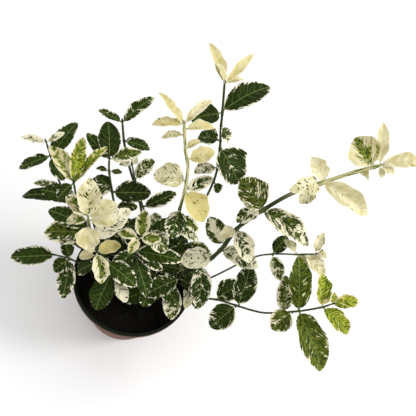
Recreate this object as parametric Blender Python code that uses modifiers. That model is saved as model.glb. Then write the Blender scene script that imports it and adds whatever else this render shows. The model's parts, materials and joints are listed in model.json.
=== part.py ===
"""A potted winter-creeper euonymus: cream-splashed evergreen shoots in a round plastic nursery pot.

Metres, +Z up. The pot stands on z = 0 with its axis on the Z axis. Every leafy stem is one solid,
its leaves fused to it, and stands in a plain hole in the soil.
"""

import math

import bmesh
import bpy
import numpy as np
from mathutils.bvhtree import BVHTree

MM = 0.001
GAP = 0.3 * MM

POT_HEIGHT = 95 * MM
POT_RIM_RADIUS = 60 * MM
POT_FOOT_RADIUS = 42.5 * MM
POT_WALL = 1.8 * MM
POT_FLOOR = 2.5 * MM
POT_LIP_HEIGHT = 6 * MM
POT_LIP_STEP = 1.4 * MM
POT_EDGE = 0.5 * MM
POT_FOOT_EDGE = 1.2 * MM
POT_SIDES = 36
DRAIN_HOLES = 6
DRAIN_RADIUS = 4.5 * MM
DRAIN_CIRCLE = 29 * MM
DRAIN_SIDES = 8

SOIL_TOP = 78 * MM
SOIL_BUMP = 1.1 * MM
SOIL_RINGS = (0.0, 0.25, 0.5, 0.75)
SOIL_WAVE = 7 * MM
SOIL_SIDES = 24

# From here on lengths are in millimetres and angles in degrees, as in the table of shoots.
STEM_TIP = 0.8
STEM_RING_STEP = 17
HOLE_SIDES = 6

LEAF_THICKNESS = 0.65
LEAF_STALK = 2.5
LEAF_STALK_WIDTH = 1.6
LEAF_ARCH = 0.07
LEAF_FOLD = 14
YOUNG_FOLD = 28
LEAF_TOOTH = 0.04
LEAF_BASE_POWER = 0.55
LEAF_TIP_POWER = 0.68
SHORT_LEAF = 20
LONG_LEAF = 41
LEAF_SWAY = 10
YOUNG = ("cream", "lime")

LEAF_CLEARANCE = 0.25
POT_CLEARANCE = 0.8
SOIL_CLEARANCE = 2
MEETING_SHARE = 0.35
NUDGE_STEP = 4
NUDGE_RINGS = 11

# Each leafy stem, in millimetres and degrees: its thickness, its route from the root's end through
# the joints up to the tip, and its leaves. A leaf's row holds the joint that it grows from, its
# length with the stalk, its width, its heading, its pitch, its roll and its kind.
SHOOTS = {
    "tall_back_shoot": {
        "thickness": 2.6,
        "route": [(16, 24, 64), (16, 24, 84), (25, 56, 150), (26, 78, 200), (18, 93, 227),
                  (11, 101, 243), (6, 108, 255), (-3, 119, 277)],
        "leaves": [
            (7, 35, 12, 145, 28, 0, "cream"), (7, 39, 9, 76, 12, 20, "cream"),
            (7, 19, 7, 52, 0, 0, "cream"), (7, 19, 8, 165, 45, 0, "cream"),
            (6.1, 51, 23, 59, 8, 0, "dark"), (6, 27, 24, -142, -15, 10, "dark"),
            (4.4, 21, 23, -173, -20, 0, "splashed"), (4.1, 36, 38, -25, -25, 0, "dark"),
            (3.4, 22, 18, -137, -5, 20, "splashed"), (3, 12, 10, -23, -30, 0, "dark"),
            (5.3, 16, 12, -30, -30, 0, "splashed"),
        ],
    },
    "cream_middle_shoot": {
        "thickness": 3.2,
        "route": [(6, 12, 64), (6, 12, 84), (12, 26, 140), (14, 34, 178), (11, 42, 192),
                  (8, 50, 210), (2, 59, 232), (-6, 65, 245), (-15, 71, 268)],
        "leaves": [
            (8, 32, 9, 168, 28, 0, "cream"), (8, 32, 9, 71, 15, 0, "cream"),
            (8, 26, 12, -151, -5, 20, "cream"), (7.6, 19, 9, -146, -12, 0, "cream"),
            (7.8, 26, 11, 39, 0, 0, "cream"), (7, 15, 8, 60, 15, 0, "cream"),
            (6.4, 25, 16, 47, 12, 0, "cream"), (5.4, 29, 25, -167, -8, 0, "cream"),
            (5, 32, 25, -22, -22, 0, "cream"), (5, 28, 13, 53, 12, 0, "splashed"),
            (4, 28, 20, -76, -28, 0, "splashed"), (3.5, 23, 11, -5, -12, 0, "margined"),
            (2.8, 26, 13, 5, -12, 0, "splashed"),
        ],
    },
    "long_right_shoot": {
        "thickness": 4.2,
        "route": [(26, 12, 64), (26, 12, 84), (40, 20, 112), (55, 30, 140), (62, 42, 160),
                  (65, 56, 182), (71, 64, 196), (76, 70, 208), (90, 84, 232), (108, 97, 250),
                  (125, 111, 262), (142, 124, 272)],
        "leaves": [
            (7.1, 35, 30, 164, 20, -10, "splashed"), (7, 25, 16, -137, -30, 0, "splashed"),
            (7, 53, 27, -5, -7, 0, "splashed"), (5, 17, 14, -125, -8, 0, "cream"),
            (5, 33, 20, -39, -14, 0, "splashed"), (3.9, 40, 22, 6, -8, 0, "margined"),
            (3.4, 31, 24, -145, -8, 0, "splashed"), (4.2, 30, 20, 154, 20, -12, "splashed"),
            (9.1, 24, 18, 153, 20, -15, "cream"), (8.9, 33, 19, -131, 14, -15, "cream"),
            (8.7, 19, 16, -99, -18, 0, "cream"), (9, 49, 20, -5, -6, 20, "cream"),
            (10.8, 29, 32, 150, 12, -22, "cream"), (11, 38, 13, 110, 20, 0, "cream"),
            (11, 44, 15, 29, 6, 0, "cream"), (11, 11, 9, -56, -20, 0, "cream"),
            (11, 14, 11, -8, -10, 0, "cream"), (10.2, 15, 12, 15, -20, 0, "cream"),
            (3, 38, 21, -170, -5, 0, "dark"),
        ],
    },
    "thin_right_shoot": {
        "thickness": 1.8,
        "route": [(45, 20, 64), (45, 20, 84), (64, 21, 126), (91, 51, 150), (104, 51, 180),
                  (122, 55, 194), (136, 61, 200)],
        "leaves": [
            (4, 23, 14, 75, 12, 0, "dark"), (4, 26, 14, -38, -22, 0, "splashed"),
            (6, 21, 10, 95, 24, 0, "cream"), (5.4, 27, 16, -11, -14, 0, "cream"),
            (5, 17, 10, 160, 12, 0, "cream"), (6, 11, 10, 4, 4, 0, "cream"),
            (5, 19, 10, -9, -22, 0, "cream"),
        ],
    },
    "low_right_shoot": {
        "thickness": 2.0,
        "route": [(42, 2, 64), (42, 2, 84), (60, 2, 112), (80, 5, 132), (100, 5, 144),
                  (114, 4, 155), (125, 5, 164), (145, 12, 183), (159, 19, 198), (164, 23, 203)],
        "leaves": [
            (4, 40, 23, 100, 22, 0, "dark"), (3.9, 32, 24, -115, -32, 0, "dark"),
            (6.5, 33, 17, 116, 26, 0, "splashed"), (7, 48, 24, 118, 20, 0, "dark"),
            (6.8, 24, 21, -115, -26, 0, "splashed"), (7, 56, 29, -38, -15, 0, "margined"),
            (8, 30, 18, 121, 28, 0, "lime"), (8, 35, 18, -10, -16, 20, "lime"),
            (9, 26, 14, 32, 8, 0, "lime"), (9, 12, 8, 113, 45, 0, "lime"),
            (3, 35, 24, 57, -6, 0, "dark"),
        ],
    },
    "right_rim_sprig": {
        "thickness": 1.8,
        "route": [(36, 12, 64), (36, 12, 84), (46, 16, 104), (52, 20, 124), (53, 26, 140)],
        "leaves": [
            (4, 42, 21, -62, -32, 0, "margined"), (3.5, 38, 17, -45, -24, 0, "dark"),
            (2.6, 30, 16, -64, -18, 0, "cream"),
        ],
    },
    "front_right_sprig": {
        "thickness": 2.0,
        "route": [(26, -16, 64), (26, -16, 84), (36, -2, 106), (40, 9, 124), (40, 15, 136)],
        "leaves": [
            (3, 37, 21, -126, -6, 0, "margined"), (2.4, 32, 19, -64, -12, 0, "splashed"),
            (4, 28, 17, -170, 10, 0, "dark"), (3, 28, 17, 15, -25, 0, "dark"),
            (4, 30, 18, 105, 5, 0, "dark"),
        ],
    },
    "centre_rosette_shoot": {
        "thickness": 2.2,
        "route": [(4, -14, 64), (4, -14, 84), (-6, 0, 116), (-8, 5, 145), (-9, 9, 168)],
        "leaves": [
            (4, 26, 14, 108, 20, 0, "splashed"), (4, 20, 12, 20, 14, 0, "splashed"),
            (4, 17, 11, -95, -10, 0, "cream"), (4, 20, 12, -165, 0, 0, "splashed"),
            (3, 45, 19, 16, 6, 0, "margined"), (2.8, 42, 18, -40, -24, 0, "dark"),
            (3, 33, 12, 0, -20, 20, "margined"), (3, 26, 15, -120, -20, 0, "dark"),
            (2.4, 34, 20, 170, 5, 0, "dark"), (3, 34, 20, 135, 5, 0, "dark"),
        ],
    },
    "front_sprig": {
        "thickness": 1.8,
        "route": [(-5, -22, 64), (-5, -22, 84), (-9, -21, 108), (-18, -20, 126), (-26, -17, 142)],
        "leaves": [
            (4, 35, 20, -8, -7, 0, "margined"), (3, 36, 23, -85, -28, 0, "dark"),
            (2.6, 25, 14, -28, -18, 0, "margined"), (3, 22, 14, 168, 12, 0, "dark"),
        ],
    },
    "cream_front_sprig": {
        "thickness": 1.8,
        "route": [(-20, -21, 64), (-20, -21, 84), (-25, -24, 112), (-32, -23, 134),
                  (-37, -17, 154)],
        "leaves": [
            (4, 29, 17, -48, -26, 0, "cream"), (4, 23, 14, 45, 6, 0, "cream"),
            (3.8, 16, 10, -152, -18, 0, "cream"), (3.3, 22, 15, -135, -38, 0, "dark"),
            (4, 15, 10, 178, 26, 0, "cream"),
        ],
    },
    "cream_left_shoot": {
        "thickness": 2.6,
        "route": [(-16, -6, 64), (-16, -6, 84), (-29, -9, 118), (-38, -12, 150), (-46, -12, 174),
                  (-52, -9, 198)],
        "leaves": [
            (5, 27, 19, 52, 16, 0, "cream"), (5, 33, 23, 119, 22, 0, "cream"),
            (5, 26, 16, 165, 14, 0, "cream"), (4.8, 19, 13, -150, -8, 0, "cream"),
            (4.6, 22, 23, -62, -24, 0, "cream"), (4, 41, 25, -156, -8, 0, "margined"),
            (3.7, 42, 19, 67, 18, 0, "splashed"), (4.4, 40, 17, -178, -6, 0, "dark"),
            (4.8, 22, 14, 28, 0, 0, "cream"), (3, 38, 20, 172, -5, 0, "dark"),
        ],
    },
    "lime_tipped_shoot": {
        "thickness": 2.2,
        "route": [(-20, 8, 64), (-20, 8, 84), (-42, 0, 120), (-58, 0, 150), (-72, 9, 174),
                  (-80, 16, 190)],
        "leaves": [
            (5, 39, 17, 154, 14, 0, "lime"), (5, 42, 15, 109, 18, 0, "lime"),
            (5, 45, 11, 79, 13, 0, "lime"), (5, 20, 13, -110, -26, 0, "dark"),
            (4, 34, 18, -172, -5, 0, "dark"), (4, 32, 18, 12, 0, 0, "cream"),
        ],
    },
    "far_left_shoot": {
        "thickness": 2.2,
        "route": [(-28, -4, 64), (-28, -4, 84), (-54, -4, 118), (-88, 17, 150), (-106, 29, 164),
                  (-116, 37, 173), (-124, 43, 180)],
        "leaves": [
            (6, 23, 8, -158, 10, 0, "splashed"), (6, 19, 7, 58, 20, 0, "splashed"),
            (5, 40, 18, 84, 15, 0, "dark"), (5, 31, 13, -133, -18, 0, "dark"),
            (5, 25, 15, -28, -25, 0, "dark"), (3, 42, 15, -159, -14, 10, "dark"),
            (3.2, 29, 13, -170, -4, 15, "margined"),
        ],
    },
    "left_rim_sprig": {
        "thickness": 2.0,
        "route": [(-38, -16, 64), (-38, -16, 84), (-46, -18, 104), (-60, -22, 117),
                  (-72, -27, 123)],
        "leaves": [
            (4, 43, 20, -152, -12, 0, "margined"), (3, 40, 18, -71, -34, 0, "splashed"),
            (3, 19, 15, -115, -22, 0, "dark"), (3, 21, 13, 145, 34, 0, "dark"),
        ],
    },
    "back_left_shoot": {
        "thickness": 2.4,
        "route": [(-10, 22, 64), (-10, 22, 84), (-28, 24, 120), (-42, 29, 150), (-52, 37, 166),
                  (-62, 47, 181), (-66, 53, 190)],
        "leaves": [
            (6, 35, 21, 123, 22, 0, "dark"), (6, 30, 14, 44, 8, 0, "margined"),
            (6, 32, 12, 159, 8, 0, "dark"), (5, 12, 6, -165, 0, 0, "dark"),
            (5, 12, 6, 20, 12, 0, "dark"), (4, 24, 21, -172, 2, 0, "splashed"),
            (4, 36, 22, 32, 0, 0, "dark"), (4.2, 18, 12, 172, 8, 0, "dark"),
            (3.2, 22, 12, 36, -6, 0, "dark"),
        ],
    },
    "far_back_shoot": {
        "thickness": 2.6,
        "route": [(-2, 36, 64), (-2, 36, 84), (-16, 44, 120), (-30, 52, 150), (-52, 67, 174),
                  (-64, 77, 190), (-72, 86, 203)],
        "leaves": [
            (5, 25, 13, 17, -6, 0, "dark"), (6, 24, 10, -175, 8, 0, "dark"),
            (6, 39, 14, 69, 16, 0, "dark"), (5, 13, 6, 45, -10, 0, "dark"),
        ],
    },
    "short_back_shoot": {
        "thickness": 1.8,
        "route": [(10, 38, 64), (10, 38, 84), (-6, 42, 120), (-22, 46, 150), (-39, 56, 173),
                  (-47, 63, 182)],
        "leaves": [
            (5, 12, 6, -155, 0, 0, "splashed"), (5, 9, 6, 90, 28, 0, "splashed"),
            (4, 27, 15, 78, 14, 0, "splashed"), (3, 36, 14, 54, 7, 0, "dark"),
        ],
    },
    "middle_sprig": {
        "thickness": 2.0,
        "route": [(8, 0, 64), (8, 0, 84), (10, 12, 112), (2, 20, 142), (-5, 25, 160)],
        "leaves": [
            (4, 26, 20, -5, -15, 0, "splashed"), (4, 25, 17, -158, -6, 0, "dark"),
            (3.6, 28, 17, 60, 10, 0, "dark"), (2.5, 34, 20, -175, 0, 0, "dark"),
            (3, 34, 19, 110, 0, 0, "splashed"),
        ],
    },
    "low_middle_sprig": {
        "thickness": 1.8,
        "route": [(16, -6, 64), (16, -6, 84), (17, -8, 98), (20, -5, 110), (21, 0, 118)],
        "leaves": [
            (4, 32, 19, -20, -5, 0, "dark"), (4, 32, 19, 165, 0, 0, "dark"),
            (3, 22, 17, -85, -14, 0, "dark"), (3, 36, 21, 80, 0, 0, "dark"),
            (2, 26, 18, -130, -8, 0, "dark"), (2, 34, 20, 30, 0, 0, "dark"),
        ],
    },
    "low_back_sprig": {
        "thickness": 1.8,
        "route": [(26, 28, 64), (26, 28, 84), (28, 30, 100), (29, 33, 114), (28, 36, 126)],
        "leaves": [
            (4, 32, 19, -150, 0, 0, "dark"), (4, 32, 19, 20, 0, 0, "splashed"),
            (3, 28, 16, 145, 15, 0, "dark"), (3, 30, 17, -90, 20, 0, "dark"),
            (2, 36, 21, 110, 5, 0, "dark"), (2, 34, 20, 0, -5, 0, "dark"),
        ],
    },
    "low_left_sprig": {
        "thickness": 1.8,
        "route": [(-30, 16, 64), (-30, 16, 84), (-32, 14, 100), (-34, 13, 114), (-36, 12, 124)],
        "leaves": [
            (4, 32, 18, -30, 0, 0, "splashed"), (4, 32, 18, 150, 0, 0, "dark"),
            (3, 26, 15, -85, 10, 0, "dark"), (3, 34, 19, 100, 0, 0, "dark"),
            (2, 30, 18, -165, 0, 0, "dark"), (2, 32, 19, -10, 0, 0, "dark"),
        ],
    },
}


def material(name, colour, roughness):
    """A Principled material with this linear colour."""
    made = bpy.data.materials.new(name)
    made.use_nodes = True
    shader = made.node_tree.nodes["Principled BSDF"]
    shader.inputs["Base Color"].default_value = (*colour, 1)
    shader.inputs["Roughness"].default_value = roughness
    shader.inputs["Metallic"].default_value = 0
    return made


def new_object(name, mesh, collection, finish=None):
    """The mesh as an object of this collection, with its material."""
    made = bpy.data.objects.new(name, mesh)
    if finish:
        mesh.materials.append(finish)
    collection.objects.link(made)
    return made


def cutter_object(name, mesh, collection):
    """A shape that only cuts: it isn't rendered and shows as wires."""
    made = new_object(name, mesh, collection)
    made.hide_render = True
    made.display_type = "WIRE"
    return made


def turned(name, profile, sides, collection, finish):
    """The profile, (radius, height) from the outside's top to the axis, turned round the Z axis."""
    mesh = bpy.data.meshes.new(name)
    points = [(radius, 0, height) for radius, height in profile]
    mesh.from_pydata(points, [(i, i + 1) for i in range(len(points) - 1)], [])
    made = new_object(name, mesh, collection, finish)
    screw = made.modifiers.new("turn", "SCREW")
    screw.steps = screw.render_steps = sides
    screw.use_merge_vertices = True
    screw.merge_threshold = 0.00001
    return made


def applied(made):
    """Puts the evaluated mesh in place of the object's own and drops its modifiers."""
    graph = bpy.context.evaluated_depsgraph_get()
    mesh = bpy.data.meshes.new_from_object(made.evaluated_get(graph))
    made.modifiers.clear()
    made.data = mesh


def boolean(made, operation, collection):
    """Joins to the object, or cuts from it, all that the collection holds, and removes that."""
    change = made.modifiers.new(operation.lower(), "BOOLEAN")
    change.operation = operation
    change.operand_type = "COLLECTION"
    change.collection = collection
    change.solver = "EXACT"
    applied(made)
    for used in list(collection.objects):
        bpy.data.objects.remove(used)


def upright_cylinder(name, radius, bottom, top, x, y, sides, collection):
    """A vertical cylinder between two heights."""
    shape = bmesh.new()
    bmesh.ops.create_cone(shape, cap_ends=True, segments=sides, radius1=radius, radius2=radius,
                          depth=top - bottom)
    bmesh.ops.translate(shape, verts=shape.verts, vec=(x, y, (top + bottom) / 2))
    mesh = bpy.data.meshes.new(name)
    shape.to_mesh(mesh)
    shape.free()
    return cutter_object(name, mesh, collection)


def wall_radius(height):
    """The outer radius of the tapering wall at this height, below the lip."""
    top = POT_RIM_RADIUS - POT_LIP_STEP
    return POT_FOOT_RADIUS + (top - POT_FOOT_RADIUS) * height / POT_HEIGHT


def make_pot(collection, cutters, finish):
    """A thin tapering pot with a stepped lip, a flat foot and drain holes round the floor."""
    lip_foot = POT_HEIGHT - POT_LIP_HEIGHT
    profile = [
        (POT_RIM_RADIUS - POT_EDGE, POT_HEIGHT),
        (POT_RIM_RADIUS, POT_HEIGHT - POT_EDGE),
        (POT_RIM_RADIUS, lip_foot),
        (wall_radius(lip_foot), lip_foot - POT_EDGE),
        (wall_radius(POT_FOOT_EDGE), POT_FOOT_EDGE),
        (POT_FOOT_RADIUS - POT_FOOT_EDGE, 0),
        (0, 0),
    ]
    inside = [
        (0, POT_FLOOR),
        (wall_radius(POT_FLOOR) - POT_WALL, POT_FLOOR),
        (wall_radius(POT_HEIGHT) - POT_WALL, POT_HEIGHT),
    ]
    pot = turned("pot", profile + inside + profile[:1], POT_SIDES, collection, finish)
    applied(pot)
    for i in range(DRAIN_HOLES):
        turn = 2 * math.pi * i / DRAIN_HOLES
        upright_cylinder(f"drain_{i}", DRAIN_RADIUS, -2 * MM, POT_FLOOR + 2 * MM,
                         DRAIN_CIRCLE * math.cos(turn), DRAIN_CIRCLE * math.sin(turn), DRAIN_SIDES, cutters)
    boolean(pot, "DIFFERENCE", cutters)
    pot.data.shade_smooth()
    pot.data.set_sharp_from_angle(angle=math.radians(30))
    return pot


def make_soil(collection, cutters, finish):
    """The compost that fills the pot, with an uneven top and a plain hole round each stem."""
    foot = POT_FLOOR + GAP
    edge = wall_radius(SOIL_TOP) - POT_WALL - GAP
    profile = [(edge, SOIL_TOP), (wall_radius(foot) - POT_WALL - GAP, foot), (0, foot)]
    top = [(edge * share, SOIL_TOP) for share in SOIL_RINGS]
    soil = turned("soil", profile + top + profile[:1], SOIL_SIDES, collection, finish)
    applied(soil)
    for vertex in soil.data.vertices:
        x, y, z = vertex.co
        if z > SOIL_TOP - MM and math.hypot(x, y) < 0.95 * edge:
            vertex.co.z += SOIL_BUMP * math.sin(x / SOIL_WAVE + 1) * math.cos(y / SOIL_WAVE)
    for name, shoot in SHOOTS.items():
        x, y, z = shoot["route"][0]
        radius = (shoot["thickness"] * MM / 2 + GAP) / math.cos(math.pi / HOLE_SIDES)
        upright_cylinder(f"hole_{name}", radius, z * MM - GAP, SOIL_TOP + 5 * MM, x * MM, y * MM,
                         HOLE_SIDES, cutters)
    boolean(soil, "DIFFERENCE", cutters)
    return soil


def route_point(route, joint):
    """The place on a stem, at a joint or between two, on a smooth curve through the joints.

    The buried first stretch is straight. Above it, between joints p1 and p2 with neighbours p0
    and p3, the curve is the cubic whose slopes at p1 and p2 are (p2 - p0) / 2 and (p3 - p1) / 2.
    """
    points = np.array(route, float)
    first = min(int(joint), len(points) - 2)
    share = joint - first
    p1, p2 = points[first], points[first + 1]
    if first == 0:
        return p1 + (p2 - p1) * share
    p0 = points[first - 1]
    p3 = points[first + 2] if first + 2 < len(points) else 2 * p2 - p1
    slope = (p2 - p0) * share
    bend = (2 * p0 - 5 * p1 + 4 * p2 - p3) * share**2
    twist = (-p0 + 3 * p1 - 3 * p2 + p3) * share**3
    return p1 + (slope + bend + twist) / 2


def stem_path(shoot):
    """The stem's points and its thickness at each, thinning evenly from the soil to the tip."""
    route = shoot["route"]
    length = sum(math.dist(a, b) for a, b in zip(route[1:], route[2:]))
    rings = round(length / STEM_RING_STEP)
    joints = [0.0] + np.linspace(1, len(route) - 1, rings).tolist()
    points = [route_point(route, joint) for joint in joints]
    thin = np.linspace(1, STEM_TIP, len(joints)) * shoot["thickness"]
    return np.array(points), thin


def leaf_axes(heading, pitch, roll):
    """Unit vectors along the leaf, across it to its left, and out of its upper face."""
    heading, pitch, roll = np.radians([heading, pitch, roll])
    along = np.array([np.cos(pitch) * np.cos(heading), np.cos(pitch) * np.sin(heading), np.sin(pitch)])
    left = np.array([-np.sin(heading), np.cos(heading), 0])
    up = np.cross(along, left)
    return along, left * np.cos(roll) + up * np.sin(roll), up * np.cos(roll) - left * np.sin(roll)


def stalk_share(length):
    """The share of the leaf's length that its stalk takes."""
    return min(LEAF_STALK / length, 0.2)


def half_width(share, length, width):
    """Half the leaf's width at this share of its length: a narrow stalk, then a blade.

    The blade's outline goes as t^a (1 - t)^b, t running from 0 at its base to 1 at its tip, and is
    widest at t = a / (a + b).
    """
    t = np.clip((share - stalk_share(length)) / (1 - stalk_share(length)), 0, 1)
    peak = LEAF_BASE_POWER / (LEAF_BASE_POWER + LEAF_TIP_POWER)
    widest = peak**LEAF_BASE_POWER * (1 - peak) ** LEAF_TIP_POWER
    blade = width / 2 * t**LEAF_BASE_POWER * (1 - t) ** LEAF_TIP_POWER / widest
    return np.maximum(blade, np.where(share < 0.5, LEAF_STALK_WIDTH / 2, 0))


def blade_points(base, row, share, side, stretch=1.0):
    """Points of the leaf's middle surface at these shares of its length, side from -1 to 1.

    The midrib arches above its chord by 4 a t (1 - t), and each half rises from it at the fold's
    angle: P = base + t L along + s w cos(fold) left + (4 a t (1 - t) + |s| w sin(fold)) up.
    """
    _, length, width, heading, pitch, roll, kind = row
    along, left, up = leaf_axes(heading, pitch, roll)
    fold = math.radians(YOUNG_FOLD if kind in YOUNG else LEAF_FOLD)
    half = half_width(share, length, width) * stretch
    rise = 4 * LEAF_ARCH * length * share * (1 - share) + np.abs(side) * half * math.sin(fold)
    return (base + np.outer(share * length, along) + np.outer(side * half * math.cos(fold), left)
            + np.outer(rise, up))


def slab(base, row, start):
    """A closed coarse shell round the leaf beyond this share of its length, for crossing tests."""
    shares = np.linspace(start, 1, 7)
    share = np.repeat(shares, 3)
    side = np.tile([-1.0, 0.0, 1.0], len(shares))
    middle = blade_points(base, row, share, side, 1 + LEAF_TOOTH)
    lift = leaf_axes(*row[3:6])[2] * (LEAF_THICKNESS / 2 + LEAF_CLEARANCE)
    faces = []
    for i in range(len(shares) - 1):
        for j in (0, 1):
            a, b = 3 * i + j, 3 * i + j + 3
            faces += [(a, b, b + 1, a + 1)]
    count = len(middle)
    ends = [(3 * i + j, 3 * i + 3 + j, 3 * i + 3 + j + count, 3 * i + j + count)
            for i in range(len(shares) - 1) for j in (0, 2)]
    lower = [tuple(corner + count for corner in face) for face in faces]
    points = np.concatenate([middle + lift, middle - lift])
    return BVHTree.FromPolygons(points.tolist(), faces + lower + ends)


def ring_shell(centres, radii, sides=8):
    """A tube of round rings, each flat in Z, through these centres, for crossing tests."""
    turn = np.arange(sides) * 2 * np.pi / sides
    circle = np.stack([np.cos(turn), np.sin(turn), np.zeros(sides)], 1)
    points = np.concatenate([centre + radius * circle for centre, radius in zip(centres, radii)])
    faces = [(r * sides + i, r * sides + (i + 1) % sides, (r + 1) * sides + (i + 1) % sides,
              (r + 1) * sides + i) for r in range(len(radii) - 1) for i in range(sides)]
    return BVHTree.FromPolygons(points.tolist(), faces)


def pot_shell():
    """The pot's rim and wall and the soil's top, a little larger than life, for crossing tests."""
    soil, rim = SOIL_TOP / MM + SOIL_CLEARANCE, POT_HEIGHT / MM + POT_CLEARANCE
    rows = [
        (POT_FOOT_RADIUS / MM + POT_CLEARANCE, 0),
        (POT_RIM_RADIUS / MM + POT_CLEARANCE, rim),
        ((wall_radius(POT_HEIGHT) - POT_WALL) / MM - POT_CLEARANCE, rim),
        ((wall_radius(SOIL_TOP) - POT_WALL) / MM - POT_CLEARANCE, soil),
        (0.1, soil),
    ]
    return ring_shell([np.array([0, 0, z]) for _, z in rows], [radius for radius, _ in rows], POT_SIDES)


def settle_leaves():
    """Each shoot's leaves with their bases, every leaf turned by the least that clears the rest.

    A leaf that would cross another stem, the pot or a leaf already placed is tried at headings and
    pitches on widening rings round its own until it is free. Near their joints, leaves of one stem
    may meet.
    """
    stems = {}
    for name, shoot in SHOOTS.items():
        points, thick = stem_path(shoot)
        stems[name] = ring_shell(points, thick / 2 + LEAF_CLEARANCE)
    pot = pot_shell()
    placed = []
    settled = {}
    nudges = [(0, 0)] + [(ring * NUDGE_STEP * math.cos(turn), ring * NUDGE_STEP * math.sin(turn))
                         for ring in range(1, NUDGE_RINGS + 1)
                         for turn in np.radians([90, 270, 0, 180, 45, 135, 225, 315])]
    for name, shoot in SHOOTS.items():
        settled[name] = []
        others = [tree for stem, tree in stems.items() if stem != name] + [pot]
        for number, row in enumerate(shoot["leaves"]):
            base = route_point(shoot["route"], row[0])
            row = (*row[:5], row[5] + LEAF_SWAY * math.sin(2.4 * number), row[6])
            for heading, pitch in nudges:
                tried = (*row[:3], row[3] + heading, row[4] + pitch, *row[5:])
                whole, outer = slab(base, tried, 0.0), slab(base, tried, MEETING_SHARE)
                crossed = any(whole.overlap(tree) for tree in others)
                crossed = crossed or bool(outer.overlap(stems[name]))
                for owner, its_whole, its_outer in placed:
                    if crossed:
                        break
                    mine, theirs = (outer, its_outer) if owner == name else (whole, its_whole)
                    crossed = bool(mine.overlap(theirs))
                if not crossed:
                    break
            else:
                raise ValueError(f"no free place for leaf {number} of {name}")
            placed.append((name, whole, outer))
            settled[name].append((base, tried))
    return settled


def leaf_object(name, base, row, collection):
    """A leaf as a thin toothed blade: points on its midrib, twice as many on each edge."""
    length = row[1]
    steps = 2 + (length > SHORT_LEAF) + (length > LONG_LEAF)
    stalk = stalk_share(length)
    spine = [0.0] + [stalk + (1 - stalk) * i / steps for i in range(steps + 1)]
    edge = [0.0, stalk] + [stalk + (1 - stalk) * i / steps / 2 for i in range(1, 2 * steps)]
    teeth = [1.0, 1.0] + [1 + LEAF_TOOTH * (1 if i % 2 else -1) for i in range(1, 2 * steps)]
    points = [blade_points(base, row, np.array(spine), np.zeros(len(spine)))]
    for side in (1.0, -1.0):
        points.append(blade_points(base, row, np.array(edge), np.full(len(edge), side), np.array(teeth)))
    faces = []
    for first, turn in ((len(spine), 1), (len(spine) + len(edge), -1)):
        faces += [(0, 1, first + 1)[::turn], (0, first + 1, first)[::turn]]
        for i in range(1, steps + 1):
            a, b = i, i + 1
            e = first + 2 * i - 1
            faces += [(a, e + 1, e)[::turn], (a, b, e + 1)[::turn]]
            if i < steps:
                faces += [(b, e + 2, e + 1)[::turn]]
    mesh = bpy.data.meshes.new(name)
    mesh.from_pydata((np.concatenate(points) * MM).tolist(), [], faces)
    made = new_object(name, mesh, collection)
    solid = made.modifiers.new("thickness", "SOLIDIFY")
    solid.thickness = LEAF_THICKNESS * MM
    solid.offset = 0
    applied(made)
    return made


def stem_object(name, shoot, collection, finish):
    """The stem as a thin tube along its route, closed at both ends."""
    points, thick = stem_path(shoot)
    curve = bpy.data.curves.new(name, "CURVE")
    curve.dimensions = "3D"
    curve.bevel_depth = MM
    curve.bevel_resolution = 1
    curve.use_fill_caps = True
    spline = curve.splines.new("POLY")
    spline.points.add(len(points) - 1)
    spline.points.foreach_set("co", np.hstack([points * MM, np.ones((len(points), 1))]).ravel())
    spline.points.foreach_set("radius", thick / 2)
    guide = bpy.data.objects.new(f"{name}_line", curve)
    collection.objects.link(guide)
    graph = bpy.context.evaluated_depsgraph_get()
    mesh = bpy.data.meshes.new_from_object(guide.evaluated_get(graph))
    bpy.data.objects.remove(guide)
    shape = bmesh.new()
    shape.from_mesh(mesh)
    bmesh.ops.remove_doubles(shape, verts=shape.verts, dist=0.01 * MM)
    bmesh.ops.recalc_face_normals(shape, faces=shape.faces)
    shape.to_mesh(mesh)
    shape.free()
    mesh.materials.clear()
    return new_object(name, mesh, collection, finish)


def make_shoot(name, shoot, leaves, collection, joined, finish):
    """One leafy stem: its tube with every leaf fused to it."""
    stem = stem_object(name, shoot, collection, finish)
    for number, (base, row) in enumerate(leaves):
        leaf_object(f"{name}_leaf_{number}", base, row, joined)
    boolean(stem, "UNION", joined)
    return stem


def main():
    for old in list(bpy.data.objects):
        bpy.data.objects.remove(old)
    scene = bpy.context.scene.collection
    parts = bpy.data.collections.new("potted_euonymus")
    helpers = bpy.data.collections.new("cutters")
    scene.children.link(parts)
    scene.children.link(helpers)
    plastic = material("terracotta plastic", (0.13, 0.075, 0.045), 0.55)
    compost = material("peat compost", (0.006, 0.005, 0.004), 0.95)
    green = material("green leaf", (0.03, 0.06, 0.015), 0.4)
    pale = material("cream leaf", (0.68, 0.64, 0.42), 0.45)
    make_pot(parts, helpers, plastic)
    make_soil(parts, helpers, compost)
    settled = settle_leaves()
    for name, shoot in SHOOTS.items():
        young = sum(row[-1] in YOUNG for row in shoot["leaves"])
        finish = pale if young > len(shoot["leaves"]) / 2 else green
        make_shoot(name, shoot, settled[name], parts, helpers, finish)


main()
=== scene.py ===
"""The looks of the potted euonymus: fine leaves, stems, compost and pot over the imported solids."""

import json
import math

import bmesh
import bpy
import numpy as np
from mathutils import Matrix
from mathutils.bvhtree import BVHTree

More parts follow.
